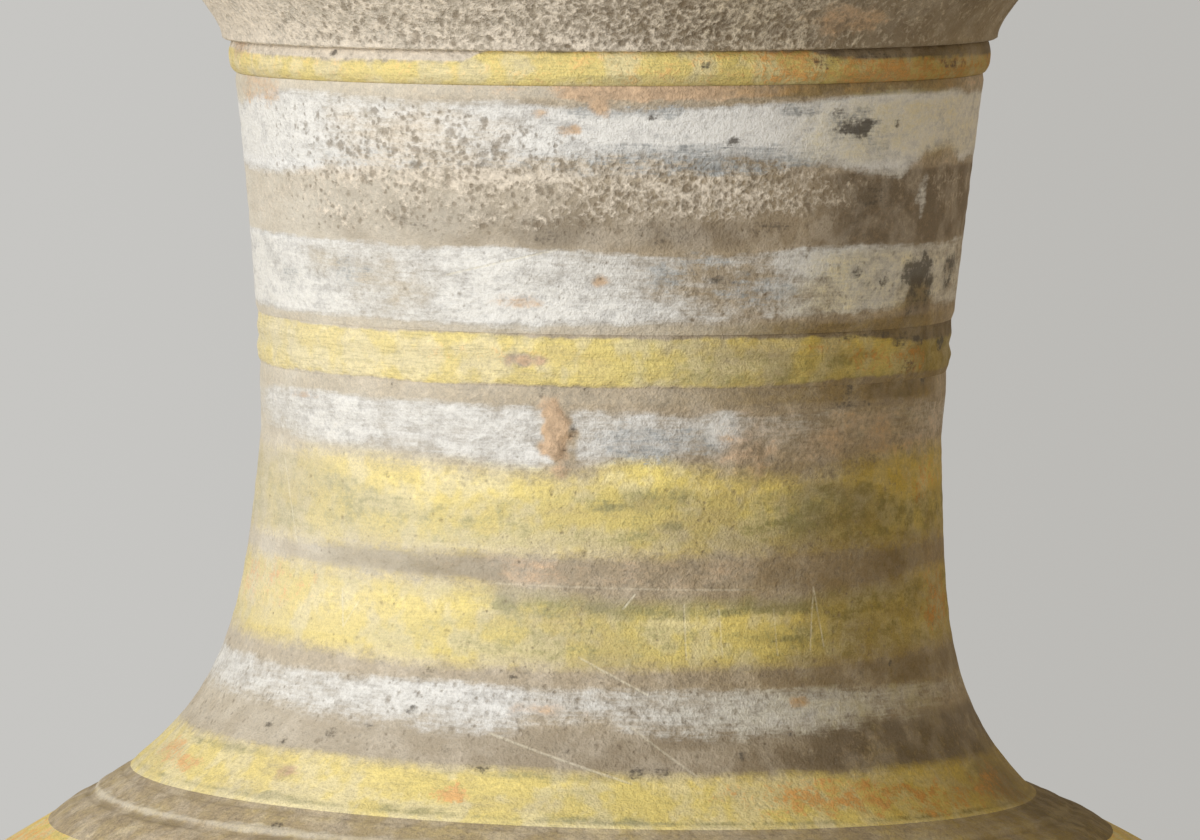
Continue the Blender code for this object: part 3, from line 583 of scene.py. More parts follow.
    *spots("olive", (-60, 307.5, 10.0, 0.8, 0.6), (-5, 307.6, 14.0, 0.7, 0.5)),
)

NECK_LUMPS = (
    Lump(-8.6, 379.2, 1.7, 2.2, 0.8), Lump(-7.3, 375.6, 2.5, 3.0, 0.9), Lump(-7.7, 371.6, 1.7, 2.6, 0.8),
    Lump(-6.8, 366.8, 1.5, 1.5, 0.4),
    Lump(24.5, 368.5, 3.0, 4.6, 0.35), Lump(-44, 305, 2.2, 1.2, -0.35),
    Lump(40.2, 434.4, 3.4, 1.7, -0.2), Lump(-5.5, 435, 1.6, 1.1, -0.25),
    Lump(-1.3, 404.7, 1.7, 1.1, -0.25), Lump(-18, 396.2, 2.4, 1.0, 0.35),
)

# Each scratch is (angle, height, end angle, end height, strength)
SCRATCH_ARC = 72.0 * MM
SCRATCH_HALF = 0.34 * MM
SCRATCHES = (
    (-2.0, 330.5, 8.5, 323.6, 0.42), (-14.0, 315.2, 6.0, 307.0, 0.4), (6.0, 317.5, 15.0, 308.5, 0.28),
    (-16.0, 344.4, 26.0, 343.9, 0.22), (14.6, 330.5, 14.2, 341.0, 0.3), (20.5, 331.0, 20.0, 340.0, 0.25),
    (36.2, 332.0, 37.4, 344.0, 0.32), (37.4, 344.0, 39.0, 332.5, 0.3), (-44.5, 341.0, -43.0, 333.5, 0.4),
    (-43.0, 333.5, -40.5, 339.0, 0.3), (-66.0, 366.0, -58.0, 349.0, 0.4), (-26.0, 405.5, -8.0, 411.0, 0.4),
    (30.0, 331.0, 29.6, 340.0, 0.2), (4.5, 340.2, 6.2, 343.0, 0.6),
)

UPPER_BAND_PAINT = (
    # Painted sheen on the lit left side of the upper band
    even("bloom", (1.0, 1.0), 440, 452, (-180, 0.2), (-90, 0.3), (-20, 0.25), (10, 0.1), (40, 0.0)),
    Coat("yellow", (0.9, 0.5), ((-180, 443, 450, 0.85), (-80, 443, 448.6, 0.95), (-62, 443, 448.2, 1.0),
         (-22, 443, 448.0, 0.95), (-18, 443, 450.4, 1.05), (30, 443, 450.2, 1.05),
         (36, 443, 448.4, 0.75), (55, 443, 448.0, 0.8), (80, 443, 447.5, 0.6))),
    Coat("crust", (0.6, 0.6), ((-180, 448, 451, 0.0), (-66, 448, 451, 0.95), (-20, 447.8, 451, 0.95),
         (-17, 448, 451, 0.0))),
    # Painted shadow along the top edge of the upper band on its right side, under the mouth
    Coat("dark", (0.8, 0.5), ((-180, 448, 451, 0.3), (28, 448, 451, 0.2), (34, 447.8, 451, 0.8),
         (85, 447.5, 451, 0.9))),
    Coat("orange", (1.0, 1.0), ((-180, 443, 451, 0.1), (-30, 443, 451, 0.1), (22, 444, 451, 0.15),
         (27, 444, 451, 0.6), (33, 444, 450, 0.2), (40, 443, 449, 0.55), (52, 443, 448, 0.65),
         (60, 443, 448, 0.5))),
    Coat("olive", (0.6, 0.6), ((-180, 443, 446, 0.2), (-16, 443, 445.4, 0.2), (0, 443, 445.8, 0.4),
         (30, 443, 446, 0.35))),
    # Painted shade with some soil on the right side of the upper band
    even("soil", (1.0, 1.0), 440, 452, (-180, 0.3), (5, 0.0), (20, 0.3), (35, 0.5), (50, 0.6),
         (60, 1.0), (95, 0.7)),
    Spot("tan", -76, 449, 5.0, 2.0, 0.6),
    *spots("stain", (14, 447.5, 0.7, 0.6, 1.1), (-45, 449.3, 0.6, 0.5, 0.9),
           (33, 448.0, 2.6, 1.2, 0.5)),
    Spot("dark", 35, 448.4, 5.0, 1.4, 0.6), Spot("stain", 46, 449.0, 7.0, 0.9, 0.36),
    Spot("dark", 58, 447.4, 6.0, 1.6, 0.6), Spot("stain", 62, 446.6, 4.0, 1.0, 0.34),
)

LOWER_BAND_PAINT = (
    # Painted sheen on the lit left side of the lower band
    even("bloom", (1.0, 1.0), 380, 400, (-180, 0.2), (-90, 0.8), (-45, 0.5), (-15, 0.25), (10, 0.08),
         (40, 0.0)),
    Coat("yellow", (0.8, 0.8), ((-180, 384, 394, 0.85), (-80, 384, 394, 1.05), (-10, 384, 393.6, 1.05),
         (6, 384, 393.6, 1.05), (12, 384, 393.6, 0.8), (28, 384, 393.4, 0.76), (34, 384, 393.4, 0.9),
         (45, 385, 393.2, 0.95), (56, 385, 392, 1.0), (62, 385, 391.5, 0.6), (80, 385, 391, 0.55))),
    # Olive grime that grows towards the right side as painted shade
    Coat("olive", (1.0, 1.0), ((-180, 384, 394, 0.2), (-60, 388, 391, 0.12), (-10, 386, 391, 0.08),
         (10, 384, 394, 0.22), (30, 384, 390, 0.3), (58, 384, 390, 0.4), (80, 384, 394, 0.5))),
    # Painted shade on the upper part of the lower band, growing towards the right side
    Coat("dark", (0.8, 0.8), ((-180, 391, 395, 0.2), (-20, 392.5, 395, 0.1), (30, 392, 395, 0.5),
         (56, 391, 395, 0.6), (62, 389, 395, 0.95), (80, 389, 395, 0.8))),
    # Painted shade with some soil on the right side of the lower band
    even("soil", (1.0, 1.0), 380, 398, (-180, 0.3), (8, 0.0), (20, 0.3), (40, 0.75), (60, 0.95),
         (95, 0.8)),
    Spot("tan", -13, 388.8, 2.7, 1.2, 1.1), Spot("yellow", -13, 388.8, 2.7, 1.2, -1.0),
    *spots("orange", (-20, 389.5, 16.0, 2.0, 0.14), (51, 388.5, 5.0, 2.4, 0.4),
           (61.5, 388, 5.0, 3.0, 0.4)),
    Spot("yellow", 4, 388, 3.0, 3.4, 0.4), Spot("orange", 38, 391.5, 5.0, 1.2, 0.35),
    *spots("stain", (62.5, 391.5, 1.8, 1.0, 0.8), (74.5, 390, 1.8, 1.4, 0.8)),
    Spot("dark", 63, 388.5, 6.0, 3.6, 0.7),
    *spots("stain", (45, 393.2, 12.0, 0.7, 0.36), (61, 386.6, 3.4, 1.2, 0.4),
           (57, 391.4, 3.0, 1.0, 0.4)),
)

RIB_PAINT = (
    even("yellow", (2.0, 2.0), 275, 305, (-180, 0.15), (-70, 0.12), (0, 0.18), (45, 0.18), (80, 0.14)),
    # Painted shade with some soil on the right side of the ribs
    even("soil", (2.0, 2.0), 275, 305, (-180, 0.35), (-75, 0.1), (-50, 0.2), (0, 0.16), (30, 0.4),
         (45, 0.7), (60, 0.95), (75, 1.2), (95, 1.1)),
    # Painted shade: the ribs darken towards the right side, away from the key lamp
    even("dark", (1.0, 1.0), 280, 299, (-180, 0.15), (-60, 0.1), (40, 0.2), (60, 0.3), (75, 1.0)),
    # Painted highlight on the raised rim of the inner rib, and painted shade in the crease between the ribs
    # and in the groove against the neck
    even("bloom", (0.5, 0.5), 295.0, 295.8, (-180, 0.2), (-75, 0.5), (-20, 0.35), (30, 0.12)),
    even("dark", (0.6, 0.6), 294.0, 294.8, (-180, 0.4), (-40, 0.5)),
    even("dark", (0.6, 0.6), 298.0, 298.7, (-180, 0.3), (-60, 0.4), (10, 0.2)),
    Spot("olive", -30, 296, 12.0, 0.8, 0.4),
    *spots("stain", (-38, 296.2, 0.8, 0.5, 0.5), (-12, 294.0, 0.7, 0.5, 0.5)),
)

MOUTH_PAINT = (
    even("crust", (0.8, 2.0), 450, 490, (-180, 0.45), (-80, 0.95), (-62, 0.92), (-50, 0.66), (-30, 0.6),
         (-10, 0.55), (10, 0.5), (25, 0.5), (34, 0.28), (60, 0.14), (100, 0.18), (179.9, 0.4)),
    even("dark", (1.0, 3.0), 450, 486, (-180, 0.5), (-70, 0.1), (-40, 0.45), (0, 0.7), (30, 0.6),
         (70, 0.5)),
    # Painted sheen on the lit left side of the mouth
    even("bloom", (2.0, 2.0), 440, 490, (-180, 0.1), (-90, 0.7), (-60, 0.5), (-30, 0.45), (-10, 0.2),
         (10, 0.0)),
    # Painted shade with some soil on the right side of the mouth
    even("soil", (2.0, 2.0), 440, 490, (-180, 0.2), (0, 0.0), (15, 0.26), (45, 0.36), (60, 0.5),
         (95, 0.4)),
    even("pit", (2.0, 2.0), 451, 490, (-180, 0.5), (-75, 0.1), (-55, 0.35), (-40, 0.8), (0, 0.85),
         (28, 0.75), (40, 0.4), (80, 0.3)),
    Spot("tan", 35, 456, 5.5, 3.2, 0.7),
    *spots("dark", (-52, 455, 3.0, 4.0, 0.5), (14, 456, 3.0, 3.0, 0.5)),
)

BODY_PAINT = (
    Coat("yellow", (3.0, 1.0), ((-180, 279, 291.5, 0.9), (-60, 278.4, 291.5, 0.95),
         (20, 279.4, 291.5, 0.85), (100, 278.6, 291.5, 0.95))),
    even("orange", (3.0, 3.0), 280, 292, (-180, 0.16), (-95, 0.3), (-40, 0.14), (20, 0.12), (90, 0.26)),
    *spots("orange", (-80, 285, 7.0, 3.0, 0.4), (-58, 286.5, 5.0, 2.4, 0.35), (78, 285, 6.0, 3.0, 0.4),
           (150, 285, 12.0, 3.0, 0.4)),
    Coat("white", (5.0, 3.0), ((-180, 258, 272, 0.62), (-130, 257, 271.4, 0.78),
         (-85, 258.6, 272.8, 0.82), (-40, 257.2, 272, 0.6), (0, 258.2, 273, 0.68),
         (45, 259.4, 272, 0.5), (90, 257.6, 271.4, 0.6), (140, 258.6, 272.4, 0.74))),
    Coat("yellow", (5.0, 4.0), ((-180, 231, 249, 0.65), (-120, 232.4, 250, 0.85),
         (-70, 230.6, 249, 0.9), (-20, 231.6, 250, 0.75), (20, 230, 248.6, 0.8), (60, 232, 248, 0.58),
         (120, 231, 249.6, 0.82))),
    Coat("white", (6.0, 3.0), ((-180, 207, 222, 0.42), (-120, 206, 221.4, 0.6),
         (-70, 207.4, 222.6, 0.62), (-15, 206, 223, 0.48), (35, 207.6, 222, 0.5), (85, 208, 221, 0.36),
         (130, 206.6, 222, 0.52))),
    Coat("white", (7.0, 3.0), ((-180, 154, 176, 0.38), (-110, 152, 177, 0.58), (-60, 154, 176, 0.54),
         (-10, 152.4, 177, 0.44), (40, 155, 176, 0.5), (85, 156, 175, 0.38),
         (135, 153.4, 176.6, 0.46))),
    Coat("yellow", (6.0, 5.0), ((-180, 122, 140, 0.45), (-110, 123.4, 141, 0.52),
         (-55, 121, 140.4, 0.58), (0, 122.4, 139, 0.48), (60, 123, 140, 0.44),
         (120, 121.6, 139.4, 0.5))),
    *spots("white", (-30, 266, 9.0, 5.0, -0.3), (62, 264, 10.0, 4.0, -0.3),
           (-155, 264, 12.0, 5.0, -0.3), (14, 214, 9.0, 4.0, -0.25), (-84, 215, 8.0, 4.0, -0.25),
           (112, 214, 10.0, 4.0, -0.25), (-22, 164, 10.0, 6.0, -0.25), (66, 168, 9.0, 5.0, -0.25),
           (-125, 162, 11.0, 6.0, -0.25)),
    *spots("yellow", (44, 240, 9.0, 5.0, -0.3), (-98, 240, 8.0, 5.0, -0.25),
           (170, 242, 10.0, 5.0, -0.25)),
    *spots("dark", (4, 226, 12.0, 3.0, 0.5), (-64, 253, 12.0, 3.0, 0.5), (96, 227, 12.0, 3.0, 0.5),
           (-160, 254, 14.0, 3.0, 0.5)),
    Coat("crust", (9.0, 9.0), ((-180, 54, 150, 0.2), (-120, 54, 120, 0.4), (-60, 60, 130, 0.2),
         (0, 54, 112, 0.28), (70, 54, 150, 0.35))),
    Coat("crust", (8.0, 8.0), ((-180, 200, 262, 0.22), (-80, 206, 240, 0.15), (-20, 200, 258, 0.26),
         (60, 214, 250, 0.15), (110, 200, 262, 0.35))),
    # Painted shade with some soil, darker on the right side of the body
    even("soil", (12.0, 2.0), 40, 293, (-180, 0.2), (-110, 0.05), (0, 0.05), (50, 0.35), (95, 0.45),
         (140, 0.3)),
    Coat("olive", (6.0, 6.0), ((-180, 230, 250, 0.4), (-60, 230, 244, 0.25), (60, 232, 250, 0.5))),
    Coat("dark", (12.0, 12.0), ((-180, 52, 120, 0.4), (-40, 52, 100, 0.2), (80, 52, 130, 0.45))),
    *spots("tan", (-28, 243, 3.5, 5.0, 0.8), (38, 262, 3.0, 2.6, 0.8)),
    *spots("stain", (24, 226, 2.2, 3.0, 0.6), (-62, 262, 2.0, 2.4, 0.6)),
    Spot("tan", 150, 240, 5.0, 4.0, 0.8), Spot("stain", -140, 215, 2.5, 3.0, 0.6),
    Spot("tan", 15, 132, 3.0, 3.4, 0.7), Spot("stain", 75, 164, 2.4, 2.8, 0.6),
    Spot("tan", -150, 166, 4.0, 3.0, 0.7),
    *spots("orange", (-20, 238, 10.0, 5.0, 0.5), (110, 241, 14.0, 5.0, 0.5)),
    *spots("slate", (-8, 264, 8.0, 2.6, 0.5), (-110, 265, 9.0, 3.0, 0.5), (50, 168, 7.0, 3.0, 0.45)),
)

BELLY_BAND_PAINT = (
    Coat("yellow", (1.2, 1.2), ((-180, 180, 200, 0.75), (-90, 180, 200, 0.95), (-20, 180, 200, 0.85),
         (40, 180, 199, 0.65), (110, 180, 200, 0.9))),
    Coat("olive", (2.0, 2.0), ((-180, 180, 200, 0.4), (-60, 184, 194, 0.3), (40, 180, 200, 0.6))),
    Coat("orange", (2.0, 2.0), ((-180, 180, 200, 0.08), (-100, 184, 200, 0.26), (-40, 184, 200, 0.06),
         (30, 184, 200, 0.06), (90, 184, 200, 0.26))),
    *spots("orange", (-52, 192, 9.0, 4.0, 0.35), (12, 187, 8.0, 3.0, 0.3), (140, 191, 10.0, 4.0, 0.35)),
    # Painted shade with some soil on the right side of the belly band
    even("soil", (2.0, 2.0), 170, 210, (-180, 0.2), (0, 0.05), (50, 0.35), (95, 0.45)),
    Spot("tan", -18, 189, 2.4, 3.0, 1.0), Spot("yellow", -18, 189, 2.4, 3.0, -0.9),
    *spots("tan", (63, 191, 3.2, 2.4, 0.9), (-130, 188, 3.0, 2.8, 0.9)),
    *spots("stain", (28, 195, 1.4, 1.6, 0.8), (-75, 185, 1.3, 1.4, 0.7)),
    Spot("tan", 160, 190, 4.0, 3.0, 0.9),
)

FOOT_PAINT = (
    Coat("crust", (3.0, 6.0), ((-180, 0, 40, 0.35), (-80, 0, 30, 0.55), (0, 0, 26, 0.4),
         (80, 0, 44, 0.5))),
    Coat("white", (2.0, 2.0), ((-180, 16, 24, 0.35), (-70, 16, 25, 0.55), (40, 16, 24, 0.35))),
    even("dark", (4.0, 4.0), -5, 14, (-180, 0.6)),
    Spot("stain", 20, 30, 3.0, 3.0, 0.5),
    *spots("tan", (-35, 9, 3.5, 3.0, 0.8), (120, 7, 4.0, 3.0, 0.8)),
)

LID_PAINT = (
    even("crust", (2.0, 2.0), 484, 530, (-180, 0.25), (-90, 0.4), (0, 0.32), (90, 0.22)),
    even("yellow", (0.6, 1.0), 484, 491.5, (-180, 0.65), (-60, 0.9), (40, 0.7)),
    Coat("white", (1.6, 1.4), ((-180, 499, 508, 0.5), (-60, 499, 508.5, 0.8), (50, 500, 507.5, 0.55))),
    Coat("yellow", (1.2, 1.2), ((-180, 514, 519, 0.55), (-60, 514, 519.5, 0.85),
         (50, 514, 518.5, 0.6))),
    even("dark", (3.0, 3.0), 490, 526, (-180, 0.4), (-60, 0.2), (60, 0.5)),
    Spot("tan", -40, 503, 5.0, 2.0, 0.8), Spot("stain", 35, 506, 3.0, 1.4, 0.7),
    *spots("tan", (100, 488, 4.0, 2.4, 0.8), (-10, 487.5, 3.0, 1.6, 0.8)),
)

KNOB_PAINT = (
    Coat("yellow", (2.0, 3.0), ((-180, 536, 560, 0.8), (-60, 534, 560, 1.0), (60, 536, 560, 0.7))),
    even("orange", (3.0, 3.0), 530, 560, (-180, 0.12), (60, 0.22)),
    even("olive", (3.0, 3.0), 530, 560, (-180, 0.3), (60, 0.5)),
    even("crust", (2.0, 2.0), 520, 534, (-180, 0.4)),
    Spot("tan", -20, 546, 16.0, 2.0, 0.8),
)

BARE_PAINT = (
    even("dark", (4.0, 4.0), -10, 600, (-180, 0.15)),
)


def paint_amounts(paint, points, angle, outside):
    """Amount of every layer at the points of a piece, 0 where the point is inside."""
    amounts = {layer: np.zeros(len(points)) for layer in LAYERS}
    ragged = noise(points, 1.5 * MM, 3)
    for index, item in enumerate(paint):
        lay = lay_coat if isinstance(item, Coat) else lay_spot
        lay(item, index, amounts[item.layer], points, angle, ragged)
    return {layer: np.clip(total, 0.0, 1.2) * outside for layer, total in amounts.items()}


def lay_coat(coat, index, total, points, angle, ragged):
    """Raise the total to a coat's amount between its edges, with patchy wear."""
    angles, lows, highs, shares = zip(*coat.stations)
    low, high, amount = (np.interp(angle, angles, values, period=360.0)
                         for values in (lows, highs, shares))
    height = points[:, 2] / MM
    below, above = coat.feather
    near = np.flatnonzero((height > low - below - 2.0) & (height < high + above + 2.0))
    place, height = points[near], height[near]
    drift = 0.35 * noise(place, 13.0 * MM, index) + 0.3 * ragged[near]
    inside = smooth_step(-below / 2, below / 2, height + drift - low[near])
    inside *= smooth_step(-above / 2, above / 2, high[near] - height + drift)
    flat = place * np.array((1.0, 1.0, 3.0))
    wear = 0.22 * noise(flat, 20.0 * MM, index + 40) + 0.2 * noise(flat, 7.0 * MM, index + 60)
    patchy = amount[near] * (1.0 + wear)
    total[near] = np.maximum(total[near], inside * patchy)


def lay_spot(spot, index, total, points, angle, ragged):
    """Add a spot's amount to the total, or take it away, with a ragged soft edge."""
    turn = np.mod(angle - spot.angle + 180.0, 360.0) - 180.0
    reach = np.hypot(turn / spot.wide, (points[:, 2] / MM - spot.height) / spot.tall)
    near = np.flatnonzero(reach < 2.8)
    edge = reach[near] + 0.4 * ragged[near] + 0.45 * noise(points[near], 3.6 * MM, index)
    total[near] += spot.amount * smooth_step(1.6, 0.3, edge)


def lump_rise(lumps, points, angle):
    """Height in metres that flakes and chips add to the wall."""
    rise = np.zeros(len(points))
    for index, lump in enumerate(lumps):
        turn = (angle - lump.angle) / lump.wide
        reach = np.hypot(turn, (points[:, 2] / MM - lump.height) / lump.tall)
        edge = reach + 0.3 * noise(points, 1.9 * MM, index + 7)
        raised = lump.rise * MM * smooth_step(1.08, 0.76, edge)
        rise = np.where(np.abs(raised) > np.abs(rise), raised, rise)
    return rise


# Turned meshes

def turned(name, outer, inner, angles, paint, material, sizes, leaning=False, lumps=(), rough=1.0,
           hidden=0):
    """Turn an outline into a closed mesh, shape and paint its outer side, and return the piece.

    The outer line runs up the outside and the inner one back down. A line that starts or
    ends on the axis is closed by a single point there. The first hidden points stay bare.
    """
    outline = np.concatenate((outer, inner))
    count = np.arange(len(outline))
    shown = (count >= hidden) & (count < len(outer))
    on_axis = outline[:, 0] < 0.01 * MM
    rings = outline[~on_axis]
    turn = np.radians(angles)
    radius, height = (np.repeat(rings[:, i], len(angles)) for i in (0, 1))
    round_x, round_y = np.tile(np.sin(turn), len(rings)), np.tile(-np.cos(turn), len(rings))
    angle = np.tile(angles, len(rings))
    outside = np.repeat(shown[~on_axis], len(angles)).astype(float)
    smooth = np.stack((radius * round_x, radius * round_y, height), axis=1)
    wall = sizes.dent_depth * noise(smooth, 38.0 * MM, 11)
    wall += sizes.ring_depth * noise(np.stack((height, height * 0, height * 0), axis=1), 1.7 * MM, 12)
    wall += sizes.ring_depth * rough * noise(smooth, 2.2 * MM, 13)
    wall += lump_rise(lumps, smooth, angle)
    radius = radius + wall * outside
    points = np.stack((radius * round_x, radius * round_y, height), axis=1)
    poles = [np.array(((0.0, 0.0, z),)) for z in outline[on_axis][:, 1]]
    points = np.concatenate((points, *poles))
    smooth = np.concatenate((smooth, *poles))
    angle = np.concatenate((angle, np.zeros(len(poles))))
    outside = np.concatenate((outside, [1.0 if flag else 0.0 for flag in shown[on_axis]]))
    faces = ring_faces(len(rings), len(angles), on_axis)
    placed = leaned(points, sizes) if leaning else points
    mesh = bpy.data.meshes.new(name)
    mesh.from_pydata(placed.tolist(), [], faces)
    mesh.shade_smooth()
    mesh.set_sharp_from_angle(angle=math.radians(CORNER_ANGLE))
    store_paint(mesh, smooth, paint_amounts(paint, smooth, angle, outside))
    mesh.materials.append(material)
    piece = bpy.data.objects.new(name, mesh)
    bpy.context.scene.collection.objects.link(piece)
    return piece


def ring_faces(rows, count, on_axis):
    """Faces between rings, and fans to the points on the axis."""
    row, column = np.meshgrid(np.arange(rows - 1), np.arange(count), indexing="ij")
    after = (column + 1) % count
    quads = np.stack((row * count + column, row * count + after,
                      (row + 1) * count + after, (row + 1) * count + column), axis=-1)
    faces = quads.reshape(-1, 4).tolist()
    first, last = np.arange(count), np.arange(count) + (rows - 1) * count
    pole = rows * count
    if on_axis[0]:
        faces += [(pole, int(first[(i + 1) % count]), int(first[i])) for i in range(count)]
        pole += 1
    if on_axis[-1]:
        faces += [(pole, int(last[i]), int(last[(i + 1) % count])) for i in range(count)]
    if not on_axis.any():
        faces += [(int(last[i]), int(last[(i + 1) % count]), int(first[(i + 1) % count]), int(first[i]))
                  for i in range(count)]
    return faces


def store_paint(mesh, upright, amounts):
    """Keep the upright place and the paint amounts of every point on the mesh."""
    place = mesh.attributes.new("upright", "FLOAT_VECTOR", "POINT")
    place.data.foreach_set("vector", upright.astype(np.float32).ravel())
    for name, layers in PAINT_SETS.items():
        packed = np.stack([amounts[layer] for layer in layers], axis=1)
        colour = mesh.attributes.new(name, "FLOAT_COLOR", "POINT")
        colour.data.foreach_set("color", packed.astype(np.float32).ravel())


def place_piece(piece, body, node):
    """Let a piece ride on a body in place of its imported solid."""
    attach(piece, body)
    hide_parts(node)


# Node sheets

class Sheet:
    """Adds nodes to one node tree and joins them."""

    def __init__(self, tree):
        self.tree = tree

    def add(self, kind, **settings):
        """A new node with its settings."""
        node = self.tree.nodes.new(kind)
        node.location = (190.0 * (len(self.tree.nodes) % 12), -240.0 * (len(self.tree.nodes) // 12))
        for name, value in settings.items():
            setattr(node, name, value)
        return node

    def feed(self, socket, source):
        """Join a socket to another one, or set its own value."""
        if isinstance(source, bpy.types.NodeSocket):
            self.tree.links.new(source, socket)
        else:
            socket.default_value = source

    def math(self, operation, first, second=0.0, clamp=False):
        """One operation on two values."""
        node = self.add("ShaderNodeMath", operation=operation, use_clamp=clamp)
        self.feed(node.inputs[0], first)
        self.feed(node.inputs[1], second)
        return node.outputs[0]

    def weighed(self, centre, *parts):
        """Sum of values, each taken from a centre and times its weight."""
        total = None
        for value, weight in parts:
            part = self.add("ShaderNodeMath", operation="MULTIPLY_ADD")
            self.feed(part.inputs[0], value)
            part.inputs[1].default_value = weight
            part.inputs[2].default_value = -centre * weight
            total = part.outputs[0] if total is None else self.math("ADD", total, part.outputs[0])
        return total

    def ease(self, value, low, high, start=0.0, end=1.0):
        """Eased share of the way from low to high."""
        node = self.add("ShaderNodeMapRange", interpolation_type="SMOOTHSTEP")
        for name, source in zip(("Value", "From Min", "From Max", "To Min", "To Max"),
                                (value, low, high, start, end)):
            self.feed(node.inputs[name], source)
        return node.outputs["Result"]

    def mix(self, share, first, second, blend="MIX"):
        """A mix of two colours."""
        node = self.add("ShaderNodeMix", data_type="RGBA", blend_type=blend)
        self.feed(node.inputs[0], share)
        self.feed(node.inputs[6], first)
        self.feed(node.inputs[7], second)
        return node.outputs[2]

    def noise(self, vector, scale, detail, roughness=0.55):
        """Smooth noise from 0 to 1, its cells turned away from the axes."""
        turn = self.add("ShaderNodeMapping")
        self.feed(turn.inputs["Vector"], vector)
        turn.inputs["Rotation"].default_value = NOISE_ANGLES
        node = self.add("ShaderNodeTexNoise")
        for name, source in zip(("Vector", "Scale", "Detail", "Roughness"),
                                (turn.outputs[0], scale, detail, roughness)):
            self.feed(node.inputs[name], source)
        return node.outputs["Fac"]

    def vector_math(self, operation, first, second=None):
        """One operation on vectors, which gives a vector or a value."""
        node = self.add("ShaderNodeVectorMath", operation=operation)
        self.feed(node.inputs[0], first)
        if second is not None:
            self.feed(node.inputs["Scale" if operation == "SCALE" else 1], second)
        return node.outputs["Value" if operation in ("LENGTH", "DOT_PRODUCT") else "Vector"]

    def mix_shader(self, share, first, second):
        """A mix of two shaders."""
        node = self.add("ShaderNodeMixShader")
        for socket, source in zip(node.inputs, (share, first, second)):
            self.feed(socket, source)
        return node.outputs[0]

    def group(self, tree, **sources):
        """A node group with its inputs joined or set."""
        node = self.add("ShaderNodeGroup", node_tree=tree)
        for name, source in sources.items():
            self.feed(node.inputs[name], source)
        return node.outputs


def new_group(name, inputs, outputs):
    """An empty node group with named sockets, and its sheet, input and output nodes."""
    tree = bpy.data.node_groups.new(name, "ShaderNodeTree")
    kinds = {"value": "NodeSocketFloat", "colour": "NodeSocketColor", "vector": "NodeSocketVector"}
    for label, kind in inputs:
        tree.interface.new_socket(label, in_out="INPUT", socket_type=kinds[kind])
    for label, kind in outputs:
        tree.interface.new_socket(label, in_out="OUTPUT", socket_type=kinds[kind])
    sheet = Sheet(tree)
    return tree, sheet, sheet.add("NodeGroupInput").outputs, sheet.add("NodeGroupOutput").inputs


def grain_group():
    """Grain, specks, brush streaks, mottling, fractal wear and lace lines, each spread about zero."""
    name = "Clay grain"
    if name in bpy.data.node_groups:
        return bpy.data.node_groups[name]
    tree, sheet, given, result = new_group(
        name, [("Vector", "vector")],
        [(label, "value") for label in ("Grain", "Speck", "Streak", "Striae", "Mottle", "Wear", "Lace")])
    vector = given["Vector"]
    wiped = sheet.noise(sheet.vector_math("MULTIPLY", vector, (1.0, 1.0, 5.0)), 90.0, 6.0, 0.66)
    brushed = sheet.noise(sheet.vector_math("MULTIPLY", vector, (1.0, 1.0, 13.0)), 150.0, 4.0, 0.62)
    worn = sheet.noise(sheet.vector_math("MULTIPLY", vector, (1.0, 1.0, 1.8)), 200.0, 8.0, 0.72)
    striped = sheet.noise(sheet.vector_math("MULTIPLY", vector, (1.0, 1.0, 11.0)), 210.0, 4.0, 0.6)
    for label, value in (("Grain", sheet.noise(vector, 2600.0, 2.0, 0.6)),
                         ("Speck", sheet.noise(vector, 900.0, 3.0, 0.62)),
                         ("Streak", sheet.weighed(0.0, (wiped, 0.5), (brushed, 0.5))),
                         ("Striae", striped),
                         ("Mottle", sheet.noise(vector, 130.0, 3.0, 0.55)), ("Wear", worn)):
        sheet.feed(result[label], sheet.weighed(0.5, (value, NOISE_SPREAD)))
    ridge = sheet.math("ABSOLUTE", sheet.weighed(0.5, (sheet.noise(vector, 540.0, 3.0, 0.55), NOISE_SPREAD)))
    sheet.feed(result["Lace"], sheet.math("SUBTRACT", 1.1, sheet.math("MULTIPLY", ridge, 1.2)))
    return tree


def pit_group():
    """Round pits of many sizes, more of them where the amount is higher."""
    name = "Round pits"
    if name in bpy.data.node_groups:
        return bpy.data.node_groups[name]
    tree, sheet, given, result = new_group(
        name, [("Vector", "vector"), ("Pit", "value"), ("Speck", "value"), ("Scale", "value")],
        [("Mask", "value")])
    masks = []
    for finer, reach in ((1.0, 0.62), (1.9, 0.6)):
        cells = sheet.add("ShaderNodeTexVoronoi", feature="F1")
        sheet.feed(cells.inputs["Vector"], given["Vector"])
        sheet.feed(cells.inputs["Scale"], sheet.math("MULTIPLY", given["Scale"], finer))
        chance = sheet.add("ShaderNodeSeparateColor")
        sheet.feed(chance.inputs[0], cells.outputs["Color"])
        rare = sheet.math("SUBTRACT", chance.outputs[0], 1.0)
        size = sheet.weighed(0.0, (rare, reach), (given["Pit"], reach))
        gap = sheet.weighed(0.0, (cells.outputs["Distance"], 1.0), (given["Speck"], 0.05), (size, -1.0))
        masks.append(sheet.ease(gap, 0.24, -0.2))
    some = sheet.ease(given["Pit"], 0.02, 0.12)
    sheet.feed(result["Mask"], sheet.math("MULTIPLY", sheet.math("MAXIMUM", *masks), some))
    return tree


